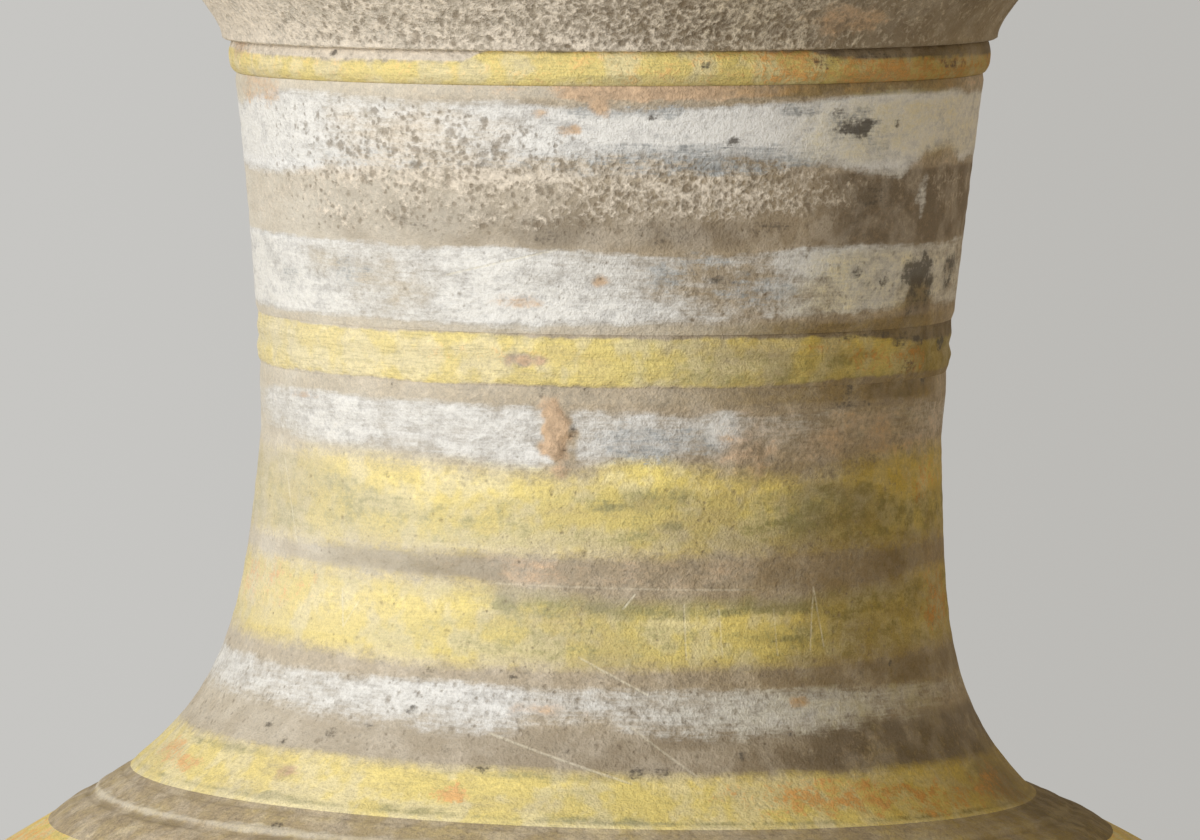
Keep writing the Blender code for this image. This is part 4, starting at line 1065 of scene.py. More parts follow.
def coat_group():
    """A worn coat: a breakup about zero turns its amount into patches with soft edges."""
    name = "Worn coat"
    if name in bpy.data.node_groups:
        return bpy.data.node_groups[name]
    tree, sheet, given, result = new_group(
        name,
        [("Under", "colour"), ("Coat", "colour"), ("Amount", "value"), ("Breakup", "value"),
         ("Softness", "value")],
        [("Color", "colour"), ("Mask", "value")])
    some = sheet.ease(given["Amount"], 0.0, 0.25)
    total = sheet.math("ADD", given["Amount"], given["Breakup"])
    low = sheet.math("SUBTRACT", 0.5, given["Softness"])
    high = sheet.math("ADD", 0.5, given["Softness"])
    mask = sheet.math("MULTIPLY", sheet.ease(total, low, high), some)
    sheet.feed(result["Mask"], mask)
    sheet.feed(result["Color"], sheet.mix(mask, given["Under"], given["Coat"]))
    return tree


def scratch_group():
    """Thin straight scratches on the neck, taken along its arc and up its height."""
    name = "Scratch lines"
    if name in bpy.data.node_groups:
        return bpy.data.node_groups[name]
    tree, sheet, given, result = new_group(
        name, [("Vector", "vector"), ("Speck", "value")], [("Mask", "value")])
    split = sheet.add("ShaderNodeSeparateXYZ")
    sheet.feed(split.inputs[0], given["Vector"])
    turn = sheet.math("ARCTAN2", split.outputs[0], sheet.math("MULTIPLY", split.outputs[1], -1.0))
    flat = sheet.add("ShaderNodeCombineXYZ")
    sheet.feed(flat.inputs[0], sheet.math("MULTIPLY", turn, SCRATCH_ARC))
    sheet.feed(flat.inputs[1], split.outputs[2])
    total = 0.0
    for angle, height, end_angle, end_height, strength in SCRATCHES:
        start = Vector((math.radians(angle) * SCRATCH_ARC, height * MM, 0.0))
        way = Vector((math.radians(end_angle) * SCRATCH_ARC, end_height * MM, 0.0)) - start
        away = sheet.vector_math("SUBTRACT", flat.outputs[0], start)
        along = sheet.vector_math("DOT_PRODUCT", away, way / way.length_squared)
        nearest = sheet.vector_math("SCALE", way, sheet.math("ADD", along, 0.0, clamp=True))
        gap = sheet.vector_math("LENGTH", sheet.vector_math("SUBTRACT", away, nearest))
        line = sheet.ease(gap, SCRATCH_HALF, 0.2 * SCRATCH_HALF, 0.0, strength)
        total = sheet.math("MAXIMUM", total, line)
    broken = sheet.ease(given["Speck"], -2.0, 0.4, 0.45, 1.0)
    sheet.feed(result["Mask"], sheet.math("MULTIPLY", total, broken))
    return tree


# Breakups: mixes of the grain outputs that fray the edges of the coats
BREAKUPS = {
    "streaky": {"Streak": 0.24, "Wear": 0.16, "Speck": 0.08, "Lace": -0.16},
    "brushed": {"Streak": 0.07, "Wear": 0.17, "Mottle": 0.05, "Speck": 0.11},
    "dusty": {"Speck": 0.11, "Wear": 0.14, "Grain": 0.04},
    "hazy": {"Streak": 0.05, "Wear": 0.07, "Speck": 0.015, "Grain": 0.008},
    "cloudy": {"Mottle": 0.1, "Wear": 0.11, "Streak": 0.07, "Speck": 0.03, "Grain": 0.01},
    "flaked": {"Speck": 0.18, "Wear": 0.2, "Grain": 0.05},
    "smeared": {"Streak": 0.16, "Speck": 0.16, "Wear": 0.1},
}

Finish = namedtuple("Finish", "name streaks wear lace pit_scale cracks scratched relief roughness")

BARE_CLAY = Finish("wheel_turned_clay", streaks=0.14, wear=0.12, lace=0.03, pit_scale=430.0, cracks=0.12,
                   scratched=False, relief=0.6, roughness=0.9)
WHITE_PAINT = Finish("worn_white_neck", streaks=0.115, wear=0.13, lace=0.17, pit_scale=450.0, cracks=0.12,
                     scratched=True, relief=0.72, roughness=0.86)
YELLOW_PAINT = Finish("worn_yellow_band", streaks=0.12, wear=0.1, lace=0.1, pit_scale=430.0, cracks=0.26,
                      scratched=False, relief=0.8, roughness=0.82)
CRUSTED_CLAY = Finish("lime_crusted_clay", streaks=0.06, wear=0.12, lace=0.17, pit_scale=400.0, cracks=0.0,
                      scratched=False, relief=0.8, roughness=0.92)
RELIEF_DEPTH = 0.35 * MM


class PaintSheet(Sheet):
    """The sheet of one painted material, with its grain, paint amounts and colours."""

    def __init__(self, tree, finish, paints):
        super().__init__(tree)
        self.finish = finish
        self.paints = paints
        self.place = self.add("ShaderNodeAttribute", attribute_name="upright").outputs["Vector"]
        self.fine = self.group(grain_group(), Vector=self.place)
        self.layers = self.kept_layers()
        mixes = {"worn": {"Streak": finish.streaks, "Wear": finish.wear, "Speck": 0.045, "Grain": 0.015},
                 "laced": {"Lace": finish.lace, "Speck": 0.1, "Wear": 0.11}, **BREAKUPS}
        self.breakups = {name: self.grained(**shares) for name, shares in mixes.items()}

    def kept_layers(self):
        """The paint amounts kept on the mesh, by layer, and the haze that comes with white paint."""
        layers = {}
        for name, parts in PAINT_SETS.items():
            source = self.add("ShaderNodeAttribute", attribute_name=name)
            split = self.add("ShaderNodeSeparateColor")
            self.feed(split.inputs[0], source.outputs["Color"])
            layers.update(zip(parts, (*split.outputs, source.outputs["Alpha"])))
        layers["primer"] = self.weighed(0.0, (layers["white"], 1.25), (layers["crust"], -0.55))
        return layers

    def grains(self, **shares):
        """Grain outputs, each with its share."""
        return [(self.fine[label], share) for label, share in shares.items()]

    def grained(self, **shares):
        """Sum of grain outputs, each times its share."""
        return self.weighed(0.0, *self.grains(**shares))

    def ink(self, colour):
        """One of the jar's colours."""
        return (*getattr(self.paints, colour), 1.0)

    def toned(self, colour, **shares):
        """A colour made lighter and darker by the grain."""
        shade = self.math("ADD", self.grained(**shares), 1.0)
        grey = self.add("ShaderNodeCombineColor")
        for socket in grey.inputs:
            self.feed(socket, shade)
        return self.mix(1.0, colour, grey.outputs[0], "MULTIPLY")

    def coat(self, under, colour, layer, breakup, softness):
        """A worn coat of one layer over a colour."""
        return self.group(coat_group(), Under=under, Coat=colour, Amount=self.layers[layer],
                          Breakup=self.breakups[breakup], Softness=softness)

    def both(self, first, second, clamp=False):
        """Product of two values."""
        return self.math("MULTIPLY", first, second, clamp)


def painted(finish, paints):
    """The material of one finish: clay, then crust, coats, tints and marks one over another."""
    if finish.name in bpy.data.materials:
        return bpy.data.materials[finish.name]
    material = bpy.data.materials.new(finish.name)
    material.use_nodes = True
    sheet = PaintSheet(material.node_tree, finish, paints)
    shader = material.node_tree.nodes["Principled BSDF"]
    chalk = sheet.mix(sheet.ease(sheet.fine["Wear"], -2.0, 0.0), sheet.ink("grey_white"), sheet.ink("white"))
    crust = sheet.coat(clay_ground(sheet), sheet.toned(sheet.ink("crust"), Wear=0.05, Speck=0.04),
                       "crust", "laced", 0.4)
    primer = sheet.coat(crust["Color"], sheet.ink("primer"), "primer", "hazy", 0.5)
    white = sheet.coat(primer["Color"], chalk, "white", "worn", 0.58)
    yellow = sheet.coat(white["Color"], yellow_paint(sheet), "yellow", "hazy", 0.66)
    # Painted sheen laid over the yellow paint
    sheen_on_yellow = sheet.both(sheet.both(sheet.layers["bloom"], 0.55), yellow["Mask"])
    colour = sheet.mix(sheen_on_yellow, yellow["Color"], sheet.ink("bloom"))
    colour = slate_strokes(sheet, colour, chalk, white["Mask"])
    pits = sheet.group(pit_group(), Vector=sheet.place, Pit=sheet.layers["pit"], Speck=sheet.fine["Speck"],
                       Scale=finish.pit_scale)["Mask"]
    colour = age_marks(sheet, colour, yellow["Mask"], pits)
    scratches = 0.0
    if finish.scratched:
        scratches = sheet.group(scratch_group(), Vector=sheet.place, Speck=sheet.fine["Speck"])["Mask"]
        colour = sheet.mix(scratches, colour, sheet.ink("scratch"))
    sheet.feed(shader.inputs["Base Color"], sheet.toned(colour, Grain=0.022, Speck=0.018))
    rough = sheet.ease(sheet.fine["Speck"], -2.0, 2.0, finish.roughness - 0.08, finish.roughness + 0.06)
    sheet.feed(shader.inputs["Roughness"], rough)
    grains = sheet.grains(Grain=0.06, Speck=0.1, Wear=0.08, Streak=0.06, Lace=0.1)
    height = sheet.weighed(0.0, *grains, (pits, -0.6), (crust["Mask"], 0.4), (white["Mask"], 0.25),
                           (yellow["Mask"], 0.25), (scratches, -0.8))
    bump = sheet.add("ShaderNodeBump")
    bump.inputs["Strength"].default_value = finish.relief
    bump.inputs["Distance"].default_value = RELIEF_DEPTH
    sheet.feed(bump.inputs["Height"], height)
    sheet.feed(shader.inputs["Normal"], bump.outputs["Normal"])
    return material


def clay_ground(sheet):
    """Bare clay, darkened in places, partly as painted shade, mottled, and paled by a painted sheen."""
    base = sheet.coat(sheet.ink("clay"), sheet.ink("dark_clay"), "dark", "dusty", 0.6)["Color"]
    base = sheet.mix(sheet.ease(sheet.fine["Mottle"], -1.0, 2.0, 0.0, 0.28), base, sheet.ink("crust"))
    base = sheet.toned(base, Speck=0.06, Wear=0.08, Grain=0.035)
    return sheet.mix(sheet.layers["bloom"], base, sheet.ink("bloom"))


def yellow_paint(sheet):
    """Yellow paint with paler patches, olive grime and orange flakes."""
    straw = sheet.mix(sheet.ease(sheet.fine["Mottle"], -1.0, 1.2), sheet.ink("yellow"), sheet.ink("straw"))
    straw = sheet.coat(straw, sheet.ink("olive"), "olive", "brushed", 0.6)["Color"]
    straw = sheet.coat(straw, sheet.ink("orange"), "orange", "flaked", 0.44)["Color"]
    return sheet.toned(straw, Speck=0.03, Wear=0.045, Streak=0.015, Grain=0.014)


def slate_strokes(sheet, colour, chalk, white_mask):
    """Bluish grey ground with strokes of white paint left on it."""
    ground = sheet.toned(sheet.ink("slate"), Wear=0.16, Speck=0.1)
    slate = sheet.coat(colour, ground, "slate", "streaky", 0.62)
    strokes = sheet.both(sheet.ease(sheet.fine["Striae"], 0.1, 1.3, 0.0, 0.6), slate["Mask"])
    return sheet.mix(sheet.both(strokes, white_mask), slate["Color"], chalk)


def age_marks(sheet, colour, yellow_mask, pits):
    """Lost flakes, cracks in the yellow paint, painted shade with some soil, pits and stains."""
    flake = sheet.toned(sheet.ink("tan"), Wear=0.08, Speck=0.05)
    colour = sheet.coat(colour, flake, "tan", "cloudy", 0.48)["Color"]
    if sheet.finish.cracks:
        cracks = sheet.ease(sheet.fine["Striae"], 0.2, 1.7, 0.0, sheet.finish.cracks)
        colour = sheet.mix(sheet.both(cracks, yellow_mask), colour, sheet.ink("olive"))
    patchy = sheet.ease(sheet.fine["Wear"], -1.5, 1.5, 0.75, 1.15)
    # Painted shade with some soil, multiplied into the colour where its layer is laid
    shade_and_soil_share = sheet.both(sheet.layers["soil"], patchy, clamp=True)
    colour = sheet.mix(shade_and_soil_share, colour, sheet.ink("soil"), "MULTIPLY")
    colour = sheet.mix(sheet.both(pits, 0.58), colour, sheet.ink("dark_clay"))
    stain = sheet.coat(colour, sheet.ink("stain"), "stain", "smeared", 0.45)
    return sheet.mix(sheet.both(stain["Mask"], 0.85), colour, sheet.ink("stain"))


# Pieces

def two_lobed(face, crown, middle, half, edges):
    """Face of a band with two lobes and a shallow groove between them, from low to high."""
    shares = np.array((-1.0, -0.78, -0.42, 0.0, 0.42, 0.78, 1.0))
    heights = np.array((edges[0], 0.7, 0.96, 0.72, 1.0, 0.85, edges[1]))
    steps = np.linspace(-1.0, 1.0, 17)
    return np.stack((face + crown * np.interp(steps, shares, heights), middle + half * steps), axis=1)


def upright_back(radius, middle, half):
    """Back of a band from high to low, against the upright floor of its groove."""
    return [(radius, middle + half), (radius, middle - half)]


class JAR_OT_neck(Operator):
    """Turn the leaning neck with its grooves and painted bands"""

    bl_idname = "jar.neck"
    bl_label = "Neck"

    def execute(self, context):
        sizes = context.scene.jar_sizes
        low = LOWER_BAND_Z - LOWER_BAND_HALF
        high = LOWER_BAND_Z + LOWER_BAND_HALF
        rebate = UPPER_BAND_Z - UPPER_BAND_HALF

        def wall(start, end):
            heights = np.linspace(start, end, max(2, round((end - start) / NECK_ROW)))
            return np.stack((neck_radius(heights, sizes.waist_radius), heights), axis=1)

        def edge(height):
            return float(neck_radius(np.array(height), sizes.waist_radius)) - GROOVE_CHAMFER / 4

        outer = np.concatenate((
            wall(NECK_BASE_Z - NECK_FOOT_DROP, low - 2 * GROOVE_CHAMFER),
            spaced([(edge(low), low), (LOWER_GROOVE_RADIUS, low), (LOWER_GROOVE_RADIUS, high),
                    (edge(high), high)], 3.0 * MM),
            wall(high + GROOVE_CHAMFER, rebate - GROOVE_CHAMFER),
            [(edge(rebate), rebate), (UPPER_GROOVE_RADIUS, rebate), (UPPER_GROOVE_RADIUS, NECK_TOP_Z)],
        ))
        heights = np.linspace(NECK_TOP_Z, NECK_BASE_Z - NECK_INSIDE_DROP, 24)
        around = np.where(heights < NECK_WAIST_Z, np.minimum(heights + NECK_WALL, NECK_WAIST_Z), heights)
        inner = np.stack((neck_radius(around, sizes.waist_radius) - NECK_WALL, heights), axis=1)
        piece = turned("jar_neck", outer, inner, columns(FRONT_COLUMNS, BACK_COLUMNS), NECK_PAINT,
                       painted(WHITE_PAINT, context.scene.jar_paints), sizes, True, NECK_LUMPS)
        place_piece(piece, "jar", "neck")
        return {"FINISHED"}


class JAR_OT_neck_bands(Operator):
    """Lay the two clay bands into the grooves of the neck"""

    bl_idname = "jar.neck_bands"
    bl_label = "Neck Bands"

    def execute(self, context):
        sizes = context.scene.jar_sizes
        material = painted(YELLOW_PAINT, context.scene.jar_paints)
        around = columns(FRONT_COLUMNS, BACK_COLUMNS)
        face = two_lobed(LOWER_BAND_FACE, LOWER_BAND_CROWN, LOWER_BAND_Z, LOWER_BAND_HALF, LOWER_BAND_EDGES)
        back = upright_back(LOWER_GROOVE_RADIUS + BED, LOWER_BAND_Z, LOWER_BAND_HALF)
        lower = turned("lower_band", spaced(face, 0.5 * MM), back, around, LOWER_BAND_PAINT, material,
                       sizes, True, rough=2.4)
        place_piece(lower, "jar", "lower_neck_band")
        inside = UPPER_GROOVE_RADIUS + 2 * BED
        angle = np.radians(np.linspace(-90.0, 90.0, 18))
        flat = np.where(angle > 0.0, UPPER_BAND_FLATS[1], UPPER_BAND_FLATS[0])
        bulge = (UPPER_BAND_RADIUS - inside) * (flat + (1.0 - flat) * np.cos(angle))
        face = np.stack((inside + bulge, UPPER_BAND_Z + UPPER_BAND_HALF * np.sin(angle)), axis=1)
        back = upright_back(inside, UPPER_BAND_Z, UPPER_BAND_HALF)
        upper = turned("upper_band", face, back, around, UPPER_BAND_PAINT, material, sizes, True, rough=2.0)
        place_piece(upper, "jar", "upper_neck_band")
        return {"FINISHED"}


class JAR_OT_mouth(Operator):
    """Turn the crusted mouth collar and its upright lip"""

    bl_idname = "jar.mouth"
    bl_label = "Mouth"

    def execute(self, context):
        sizes = context.scene.jar_sizes
        top = sizes.lip_height
        lip = sizes.lip_radius
        edge = (MOUTH_EDGE_RADIUS, MOUTH_Z)
        flare = curve(edge, (edge[0] + MOUTH_RISE[0], edge[1] + MOUTH_RISE[1]),
                      (lip - LIP_RISE[0], LIP_FOOT_Z - LIP_RISE[1]), (lip, LIP_FOOT_Z), 40)
        rim = spaced([(lip, LIP_FOOT_Z), (lip, top - LIP_EDGE), (lip - LIP_EDGE, top),
                      (LIP_INNER_RADIUS + LIP_EDGE, top), (LIP_INNER_RADIUS, top - LIP_EDGE)], 1.2 * MM)
        undercut = (edge[0] - MOUTH_UNDERCUT[0], edge[1] - MOUTH_UNDERCUT[1])
        outer = np.concatenate(([undercut], flare, rim[1:]))
        shelf = top - COLLAR_DROP - DISH_CLEARANCE
        dish = curve((LIP_INNER_RADIUS, shelf), (LIP_INNER_RADIUS - DISH_TOP[0], shelf - DISH_TOP[1]),
                     (MOUTH_INNER_RADIUS + DISH_FOOT[0], MOUTH_Z + DISH_FOOT[1]),
                     (MOUTH_INNER_RADIUS, MOUTH_Z), 20)
        piece = turned("mouth", outer, dish, columns(FRONT_COLUMNS, BACK_COLUMNS), MOUTH_PAINT,
                       painted(CRUSTED_CLAY, context.scene.jar_paints), sizes, True)
        place_piece(piece, "jar", "mouth_collar")
        return {"FINISHED"}


class JAR_OT_shoulder(Operator):
    """Turn the shoulder and lay its two broad ribs"""

    bl_idname = "jar.shoulder"
    bl_label = "Shoulder and Ribs"

    def execute(self, context):
        sizes = context.scene.jar_sizes
        material = painted(BARE_CLAY, context.scene.jar_paints)
        belly = sizes.belly_radius
        band_top = BELLY_Z + BELLY_BAND_HALF
        seat = float(neck_radius(np.array(NECK_BASE_Z), sizes.waist_radius))
        dome = curve((belly, band_top), (belly, DOME_RISE_Z), DOME_HANDLE,
                     (SHOULDER_EDGE_RADIUS, SHOULDER_EDGE_Z), 80)
        ledge = [(SHOULDER_EDGE_RADIUS - GAP, rebate_floor(SHOULDER_EDGE_RADIUS)),
                 (seat + 2 * GAP, rebate_floor(seat)), (seat + GAP, rebate_floor(seat) - 2 * BED)]
        rebate = [(belly - BELLY_REBATE, BELLY_Z + GAP), (belly - BELLY_REBATE, band_top)]
        outer = np.concatenate((rebate, dome, ledge))
        inside = belly - BODY_WALL
        hollow = curve((seat - DOME_HOLLOW_INSET, DOME_HOLLOW_TOP_Z), DOME_HOLLOW_HANDLE,
                       (inside, DOME_HOLLOW_RISE_Z), (inside, BELLY_Z - SEAM_DROP + GAP), 24)
        piece = turned("jar_shoulder", outer, hollow, columns(BODY_COLUMNS), BODY_PAINT, material, sizes,
                       True)
        place_piece(piece, "jar", "shoulder")
        for name, node, span, low in (("inner_rib", "inner_shoulder_rib", INNER_RIB, RIB_SEAM),
                                      ("outer_rib", "outer_shoulder_rib", OUTER_RIB, RIB_OUTER_EDGE)):
            back = [(radius, rebate_floor(radius) + BED) for radius in span]
            rib = turned(name, rib_face(span, low), back, columns(FRONT_COLUMNS, BACK_COLUMNS), RIB_PAINT,
                         material, sizes, True)
            place_piece(rib, "jar", node)
        return {"FINISHED"}


def rebate_floor(radius):
    """Height of the turned rebate that the ribs lie in."""
    return SHOULDER_EDGE_Z - RIB_REBATE + SHOULDER_SLOPE * (SHOULDER_EDGE_RADIUS - radius)


def rib_face(span, low):
    """Face of a rib from its outer edge inwards, with its turned lines."""
    radii = np.linspace(span[1], span[0], RIB_ROWS)
    share = np.linspace(-1.0, 1.0, RIB_ROWS)
    rise = low + (RIB_SEAM - low) * smooth_step(-1.0, -0.3, share)
    crest = rebate_floor(radii) + rise + RIB_CROWN * (1.0 - share ** 2)
    for radius, height, half in RIB_LINES:
        crest = crest + height * np.exp(-((radii - radius) / half) ** 2)
    return np.stack((radii, crest), axis=1)


class JAR_OT_body(Operator):
    """Turn the lower body and the band that covers the belly seam"""

    bl_idname = "jar.body"
    bl_label = "Body"

    def execute(self, context):
        sizes = context.scene.jar_sizes
        belly = sizes.belly_radius
        rebate = belly - BELLY_REBATE
        band_foot = BELLY_Z - BELLY_BAND_HALF
        floor = [(0.0, BODY_SEAT[1]), BODY_SEAT]
        wall = curve((BODY_FOOT_RADIUS, BODY_FOOT_Z), BOWL_HANDLE, (belly, BOWL_RISE_Z),
                     (belly, band_foot), 90)
        outer = np.concatenate((floor, wall, [(rebate, band_foot), (rebate, BELLY_Z)]))
        inside = belly - BODY_WALL
        hollow = curve((inside, BELLY_Z - SEAM_DROP), (inside, BOWL_HOLLOW_RISE_Z), BOWL_HOLLOW_HANDLE,
                       BOWL_FLOOR, 20)
        inner = np.concatenate((hollow, [(0.0, BOWL_FLOOR[1])]))
        body = turned("jar_body", outer, inner, columns(BODY_COLUMNS), BODY_PAINT,
                      painted(BARE_CLAY, context.scene.jar_paints), sizes)
        place_piece(body, "jar", "lower_body")
        face = two_lobed(belly, BELLY_BAND_CROWN, BELLY_Z, BELLY_BAND_HALF, BELLY_BAND_EDGES)
        back = upright_back(rebate + BED, BELLY_Z, BELLY_BAND_HALF)
        band = turned("belly_strip", spaced(face, 1.2 * MM), back, columns(BODY_COLUMNS), BELLY_BAND_PAINT,
                      painted(YELLOW_PAINT, context.scene.jar_paints), sizes, rough=3.0)
        place_piece(band, "jar", "belly_band")
        return {"FINISHED"}


class JAR_OT_foot(Operator):
    """Turn the flared foot ring"""

    bl_idname = "jar.foot"
    bl_label = "Foot"

    def execute(self, context):
        sizes = context.scene.jar_sizes
        foot = sizes.foot_radius
        band = spaced([(foot - FOOT_EDGE, 0.0), (foot, FOOT_EDGE), (foot, FOOT_BAND_HEIGHT - FOOT_EDGE),
                       (foot - FOOT_EDGE, FOOT_BAND_HEIGHT)], 1.5 * MM)
        flare = curve((foot - FOOT_BAND_STEP, FOOT_BAND_HEIGHT + FOOT_EDGE), *FOOT_FLARE,
                      (BODY_FOOT_RADIUS, BODY_FOOT_Z), 30)
        hollow = curve(FOOT_HOLLOW_TOP, *FOOT_HOLLOW, (FOOT_HOLLOW_RADIUS, FOOT_EDGE), 16)
        inner = np.concatenate((hollow, [(FOOT_HOLLOW_RADIUS + FOOT_EDGE, 0.0)]))
        piece = turned("foot", np.concatenate((band, flare)), inner, columns(BODY_COLUMNS), FOOT_PAINT,
                       painted(BARE_CLAY, context.scene.jar_paints), sizes)
        place_piece(piece, "jar", "foot_ring")
        return {"FINISHED"}


class JAR_OT_lid(Operator):
    """Turn the lid: its dome, the collar under it and the knob"""

    bl_idname = "jar.lid"
    bl_label = "Lid"

    def execute(self, context):
        sizes = context.scene.jar_sizes
        paints = context.scene.jar_paints
        outline, hidden = self.dome_outline(sizes)
        dome = self.lid_piece("lid", outline, np.zeros((0, 2)), BODY_COLUMNS, LID_PAINT,
                              painted(CRUSTED_CLAY, paints), sizes, hidden)
        place_piece(dome, "lid", "lid_dome")
        face = spaced([(COLLAR_INNER_RADIUS, LID_EDGE - COLLAR_DROP),
                       (COLLAR_INNER_RADIUS + LID_EDGE, -COLLAR_DROP),
                       (COLLAR_RADIUS - LID_EDGE, -COLLAR_DROP),
                       (COLLAR_RADIUS, LID_EDGE - COLLAR_DROP), (COLLAR_RADIUS, COLLAR_TOP)], 1.5 * MM)
        ring = self.lid_piece("lid_ring", face, [(COLLAR_INNER_RADIUS, COLLAR_TOP)], BODY_COLUMNS, BARE_PAINT,
                              painted(BARE_CLAY, paints), sizes)
        place_piece(ring, "lid", "lid_collar")
        knob = self.lid_piece("knob", self.knob_face(sizes.knob_radius), np.zeros((0, 2)), KNOB_COLUMNS,
                              KNOB_PAINT, painted(YELLOW_PAINT, paints), sizes)
        place_piece(knob, "lid", "lid_knob")
        return {"FINISHED"}

    def dome_outline(self, sizes):
        """Outline of the dome from its hollow up to the knob's seat, and how many points lie under it."""
        rim = sizes.lid_radius
        groove_out = COLLAR_RADIUS + GAP
        groove_in = COLLAR_INNER_RADIUS - GAP
        hollow = curve(*LID_HOLLOW, 20)
        groove = [(groove_in, LID_EDGE), (groove_in, LID_GROOVE_TOP), (groove_out, LID_GROOVE_TOP),
                  (groove_out, GAP)]
        rim_face = spaced([(rim - LID_EDGE, GAP), (rim, GAP + LID_EDGE), (rim, LID_RIM_TOP - LID_EDGE)],
                          1.2 * MM)
        crown = curve((rim - LID_RIM_STEP, LID_RIM_TOP + LID_EDGE), *LID_CROWN, (KNOB_SEAT[0], LID_TOP), 60)
        outline = np.concatenate((hollow, groove, rim_face, crown, [KNOB_SEAT, (0.0, KNOB_SEAT[1])]))
        return outline, len(hollow) + len(groove)

    def knob_face(self, radius):
        """Outline of the knob: its foot, a waisted stem and a pointed button."""
        stem = curve(KNOB_STEM_FOOT, *KNOB_STEM, (radius, KNOB_EDGE[0]), 20)
        top = curve((radius, KNOB_EDGE[1]), (radius - KNOB_ROUND[0], KNOB_ROUND[1]), *KNOB_CROWN, 20)
        return np.concatenate(([(0.0, KNOB_FOOT[1]), KNOB_FOOT], stem, top))

    def lid_piece(self, name, outer, inner, count, paint, material, sizes, hidden=0):
        """A turned piece whose heights are taken from the lip that the lid rests on."""
        lift = np.array((0.0, sizes.lip_height))
        piece = turned(name, np.array(outer) + lift, np.array(inner) + lift, columns(count), paint, material,
                       sizes, hidden=hidden)
        piece.location.x = sizes.lean_shift
        return piece


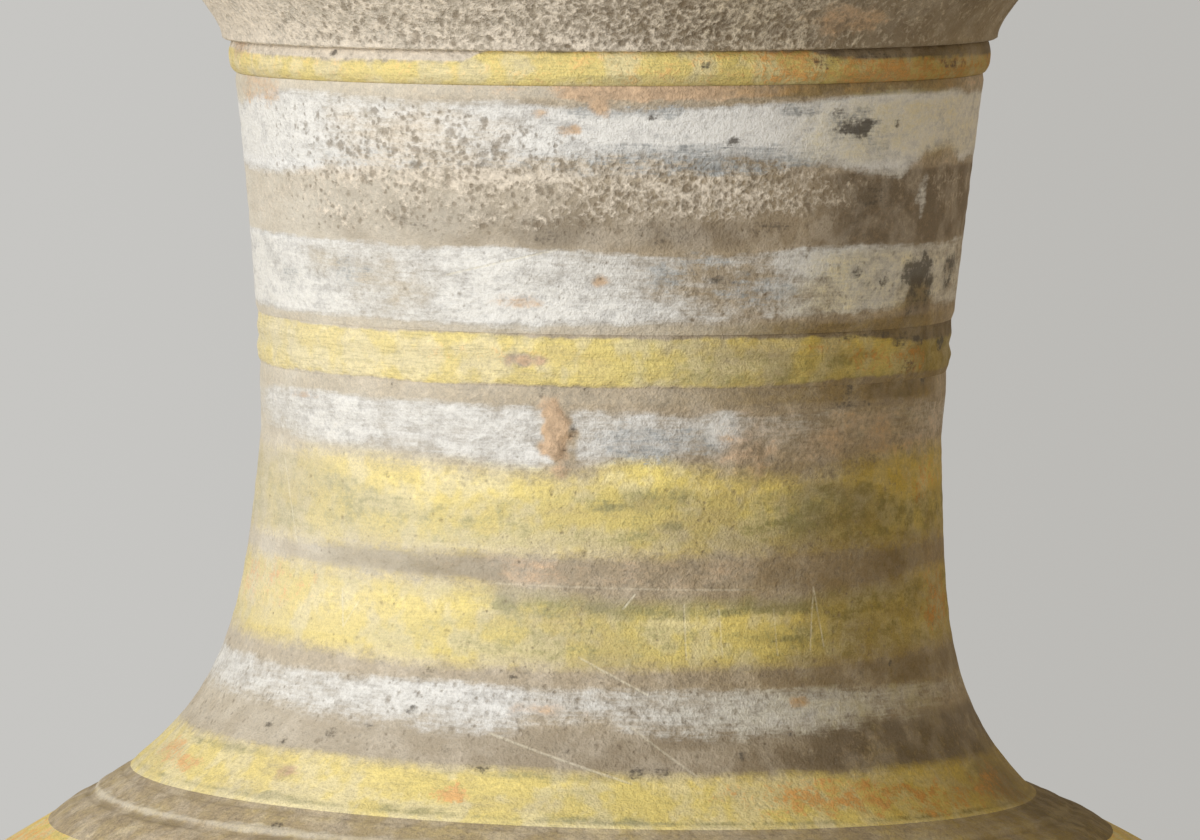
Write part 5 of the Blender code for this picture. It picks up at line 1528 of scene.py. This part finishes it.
class JAR_OT_stage(Operator):
    """Set the floor, the room light, the lamps and the camera"""

    bl_idname = "jar.stage"
    bl_label = "Stage"

    def execute(self, context):
        scene = context.scene
        stage = scene.jar_stage
        scene.view_settings.view_transform = "Standard"
        self.floor(scene)
        self.room(scene)
        self.lamp(scene, "key_lamp", KEY_PLACE, KEY_SIZE, stage.key_power, KEY_LIGHT)
        self.lamp(scene, "rim_lamp", RIM_PLACE, RIM_SIZE, stage.rim_power, RIM_LIGHT)
        self.camera(scene)
        return {"FINISHED"}

    def floor(self, scene):
        """A wide pale disc that thins out into the backdrop."""
        rings = np.linspace(0.02, FLOOR_RADIUS, FLOOR_RINGS)
        angle = np.linspace(0.0, math.tau, FLOOR_COLUMNS, endpoint=False)
        points = [(r * math.cos(a), r * math.sin(a), 0.0) for r in rings for a in angle]
        sides = [(j, (j + 1) % FLOOR_COLUMNS) for j in range(FLOOR_COLUMNS)]
        starts = np.arange(FLOOR_RINGS) * FLOOR_COLUMNS
        faces = [(low + j, low + k, high + k, high + j)
                 for low, high in zip(starts, starts[1:]) for j, k in sides]
        faces.append(tuple(range(FLOOR_COLUMNS)))
        mesh = bpy.data.meshes.new("floor")
        mesh.from_pydata(points, [], [face[::-1] for face in faces])
        floor = bpy.data.objects.new("floor", mesh)
        scene.collection.objects.link(floor)
        floor.location.z = -2 * BED
        material = bpy.data.materials.new("pale_floor")
        material.use_nodes = True
        sheet = Sheet(material.node_tree)
        nodes = material.node_tree.nodes
        shader = nodes["Principled BSDF"]
        shader.inputs["Base Color"].default_value = (*scene.jar_stage.floor, 1.0)
        shader.inputs["Roughness"].default_value = 0.95
        away = sheet.vector_math("LENGTH", sheet.add("ShaderNodeTexCoord").outputs["Object"])
        thin = sheet.ease(away, 0.45 * FLOOR_RADIUS, 0.98 * FLOOR_RADIUS)
        clear = sheet.add("ShaderNodeBsdfTransparent").outputs[0]
        sheet.feed(nodes["Material Output"].inputs["Surface"],
                   sheet.mix_shader(thin, shader.outputs[0], clear))
        mesh.materials.append(material)

    def room(self, scene):
        """Pale grey for the camera, painted darker towards the right as painted shade, and a room that is
        bright at the left front for the light.
        """
        stage = scene.jar_stage
        world = bpy.data.worlds.new("room")
        world.use_nodes = True
        scene.world = world
        sheet = Sheet(world.node_tree)
        nodes = world.node_tree.nodes
        way = sheet.add("ShaderNodeTexCoord").outputs["Generated"]
        aim = sheet.vector_math("DOT_PRODUCT", way, LIT_SIDE)
        light = nodes["Background"]
        sheet.feed(light.inputs["Color"], sheet.mix(sheet.ease(aim, *LIT_EDGES), DIM_LIGHT, BRIGHT_LIGHT))
        sheet.feed(light.inputs["Strength"], sheet.ease(aim, *LIT_EDGES, stage.shade_level, stage.sky_level))
        split = sheet.add("ShaderNodeSeparateXYZ")
        sheet.feed(split.inputs[0], way)
        # Painted shade: the backdrop seen by the camera darkens towards the right
        across = sheet.ease(split.outputs[0], -0.07, 0.07)
        shown = sheet.add("ShaderNodeBackground")
        sheet.feed(shown.inputs["Color"],
                   sheet.mix(across, (*stage.backdrop_left, 1.0), (*stage.backdrop_right, 1.0)))
        path = sheet.add("ShaderNodeLightPath")
        seen = path.outputs["Is Camera Ray"]
        for ray in ("Is Glossy Ray", "Is Transmission Ray"):
            seen = sheet.math("MAXIMUM", seen, path.outputs[ray])
        sheet.feed(nodes["World Output"].inputs["Surface"],
                   sheet.mix_shader(seen, light.outputs[0], shown.outputs[0]))

    def lamp(self, scene, name, place, size, power, colour):
        """A soft square lamp that faces the neck."""
        light = bpy.data.lights.new(name, "AREA")
        light.size = size
        light.energy = power
        light.color = colour
        lamp = bpy.data.objects.new(name, light)
        lamp.location = place
        lamp.rotation_euler = (LAMP_AIM - lamp.location).to_track_quat("-Z", "Y").to_euler()
        scene.collection.objects.link(lamp)

    def camera(self, scene):
        """A long lens that looks a little down on the neck."""
        data = bpy.data.cameras.new("camera")
        data.sensor_width = 36.0
        data.lens = CAMERA_LENS
        camera = bpy.data.objects.new("camera", data)
        rise = CAMERA_DISTANCE * math.tan(CAMERA_PITCH)
        camera.location = CAMERA_AIM + Vector((0.0, -CAMERA_DISTANCE, rise))
        camera.rotation_euler = (math.pi / 2 - CAMERA_PITCH, 0.0, 0.0)
        scene.collection.objects.link(camera)
        scene.camera = camera


class JAR_PT_sidebar(Panel):
    """Jar pieces and their settings"""

    bl_label = "Painted Pottery Jar"
    bl_space_type = "VIEW_3D"
    bl_region_type = "UI"
    bl_category = "Jar"

    def draw(self, context):
        for group in (context.scene.jar_sizes, context.scene.jar_paints, context.scene.jar_stage):
            box = self.layout.box()
            for name in group.__annotations__:
                box.prop(group, name)
        for operator in OPERATORS:
            self.layout.operator(operator.bl_idname)


OPERATORS = (JAR_OT_foot, JAR_OT_body, JAR_OT_shoulder, JAR_OT_neck, JAR_OT_neck_bands, JAR_OT_mouth,
             JAR_OT_lid, JAR_OT_stage)
CLASSES = (JarSizes, JarPaints, JarStage, *OPERATORS, JAR_PT_sidebar)


def register():
    """Add the classes and the scene's settings."""
    for kind in CLASSES:
        bpy.utils.register_class(kind)
    bpy.types.Scene.jar_sizes = PointerProperty(type=JarSizes)
    bpy.types.Scene.jar_paints = PointerProperty(type=JarPaints)
    bpy.types.Scene.jar_stage = PointerProperty(type=JarStage)


def unregister():
    """Take the settings and the classes out again."""
    for name in ("jar_sizes", "jar_paints", "jar_stage"):
        delattr(bpy.types.Scene, name)
    for kind in reversed(CLASSES):
        bpy.utils.unregister_class(kind)


def main():
    """Build every piece and the stage."""
    register()
    bpy.ops.jar.foot()
    bpy.ops.jar.body()
    bpy.ops.jar.shoulder()
    bpy.ops.jar.neck()
    bpy.ops.jar.neck_bands()
    bpy.ops.jar.mouth()
    bpy.ops.jar.lid()
    bpy.ops.jar.stage()
    bpy.context.view_layer.update()


if __name__ == "__main__":
    main()
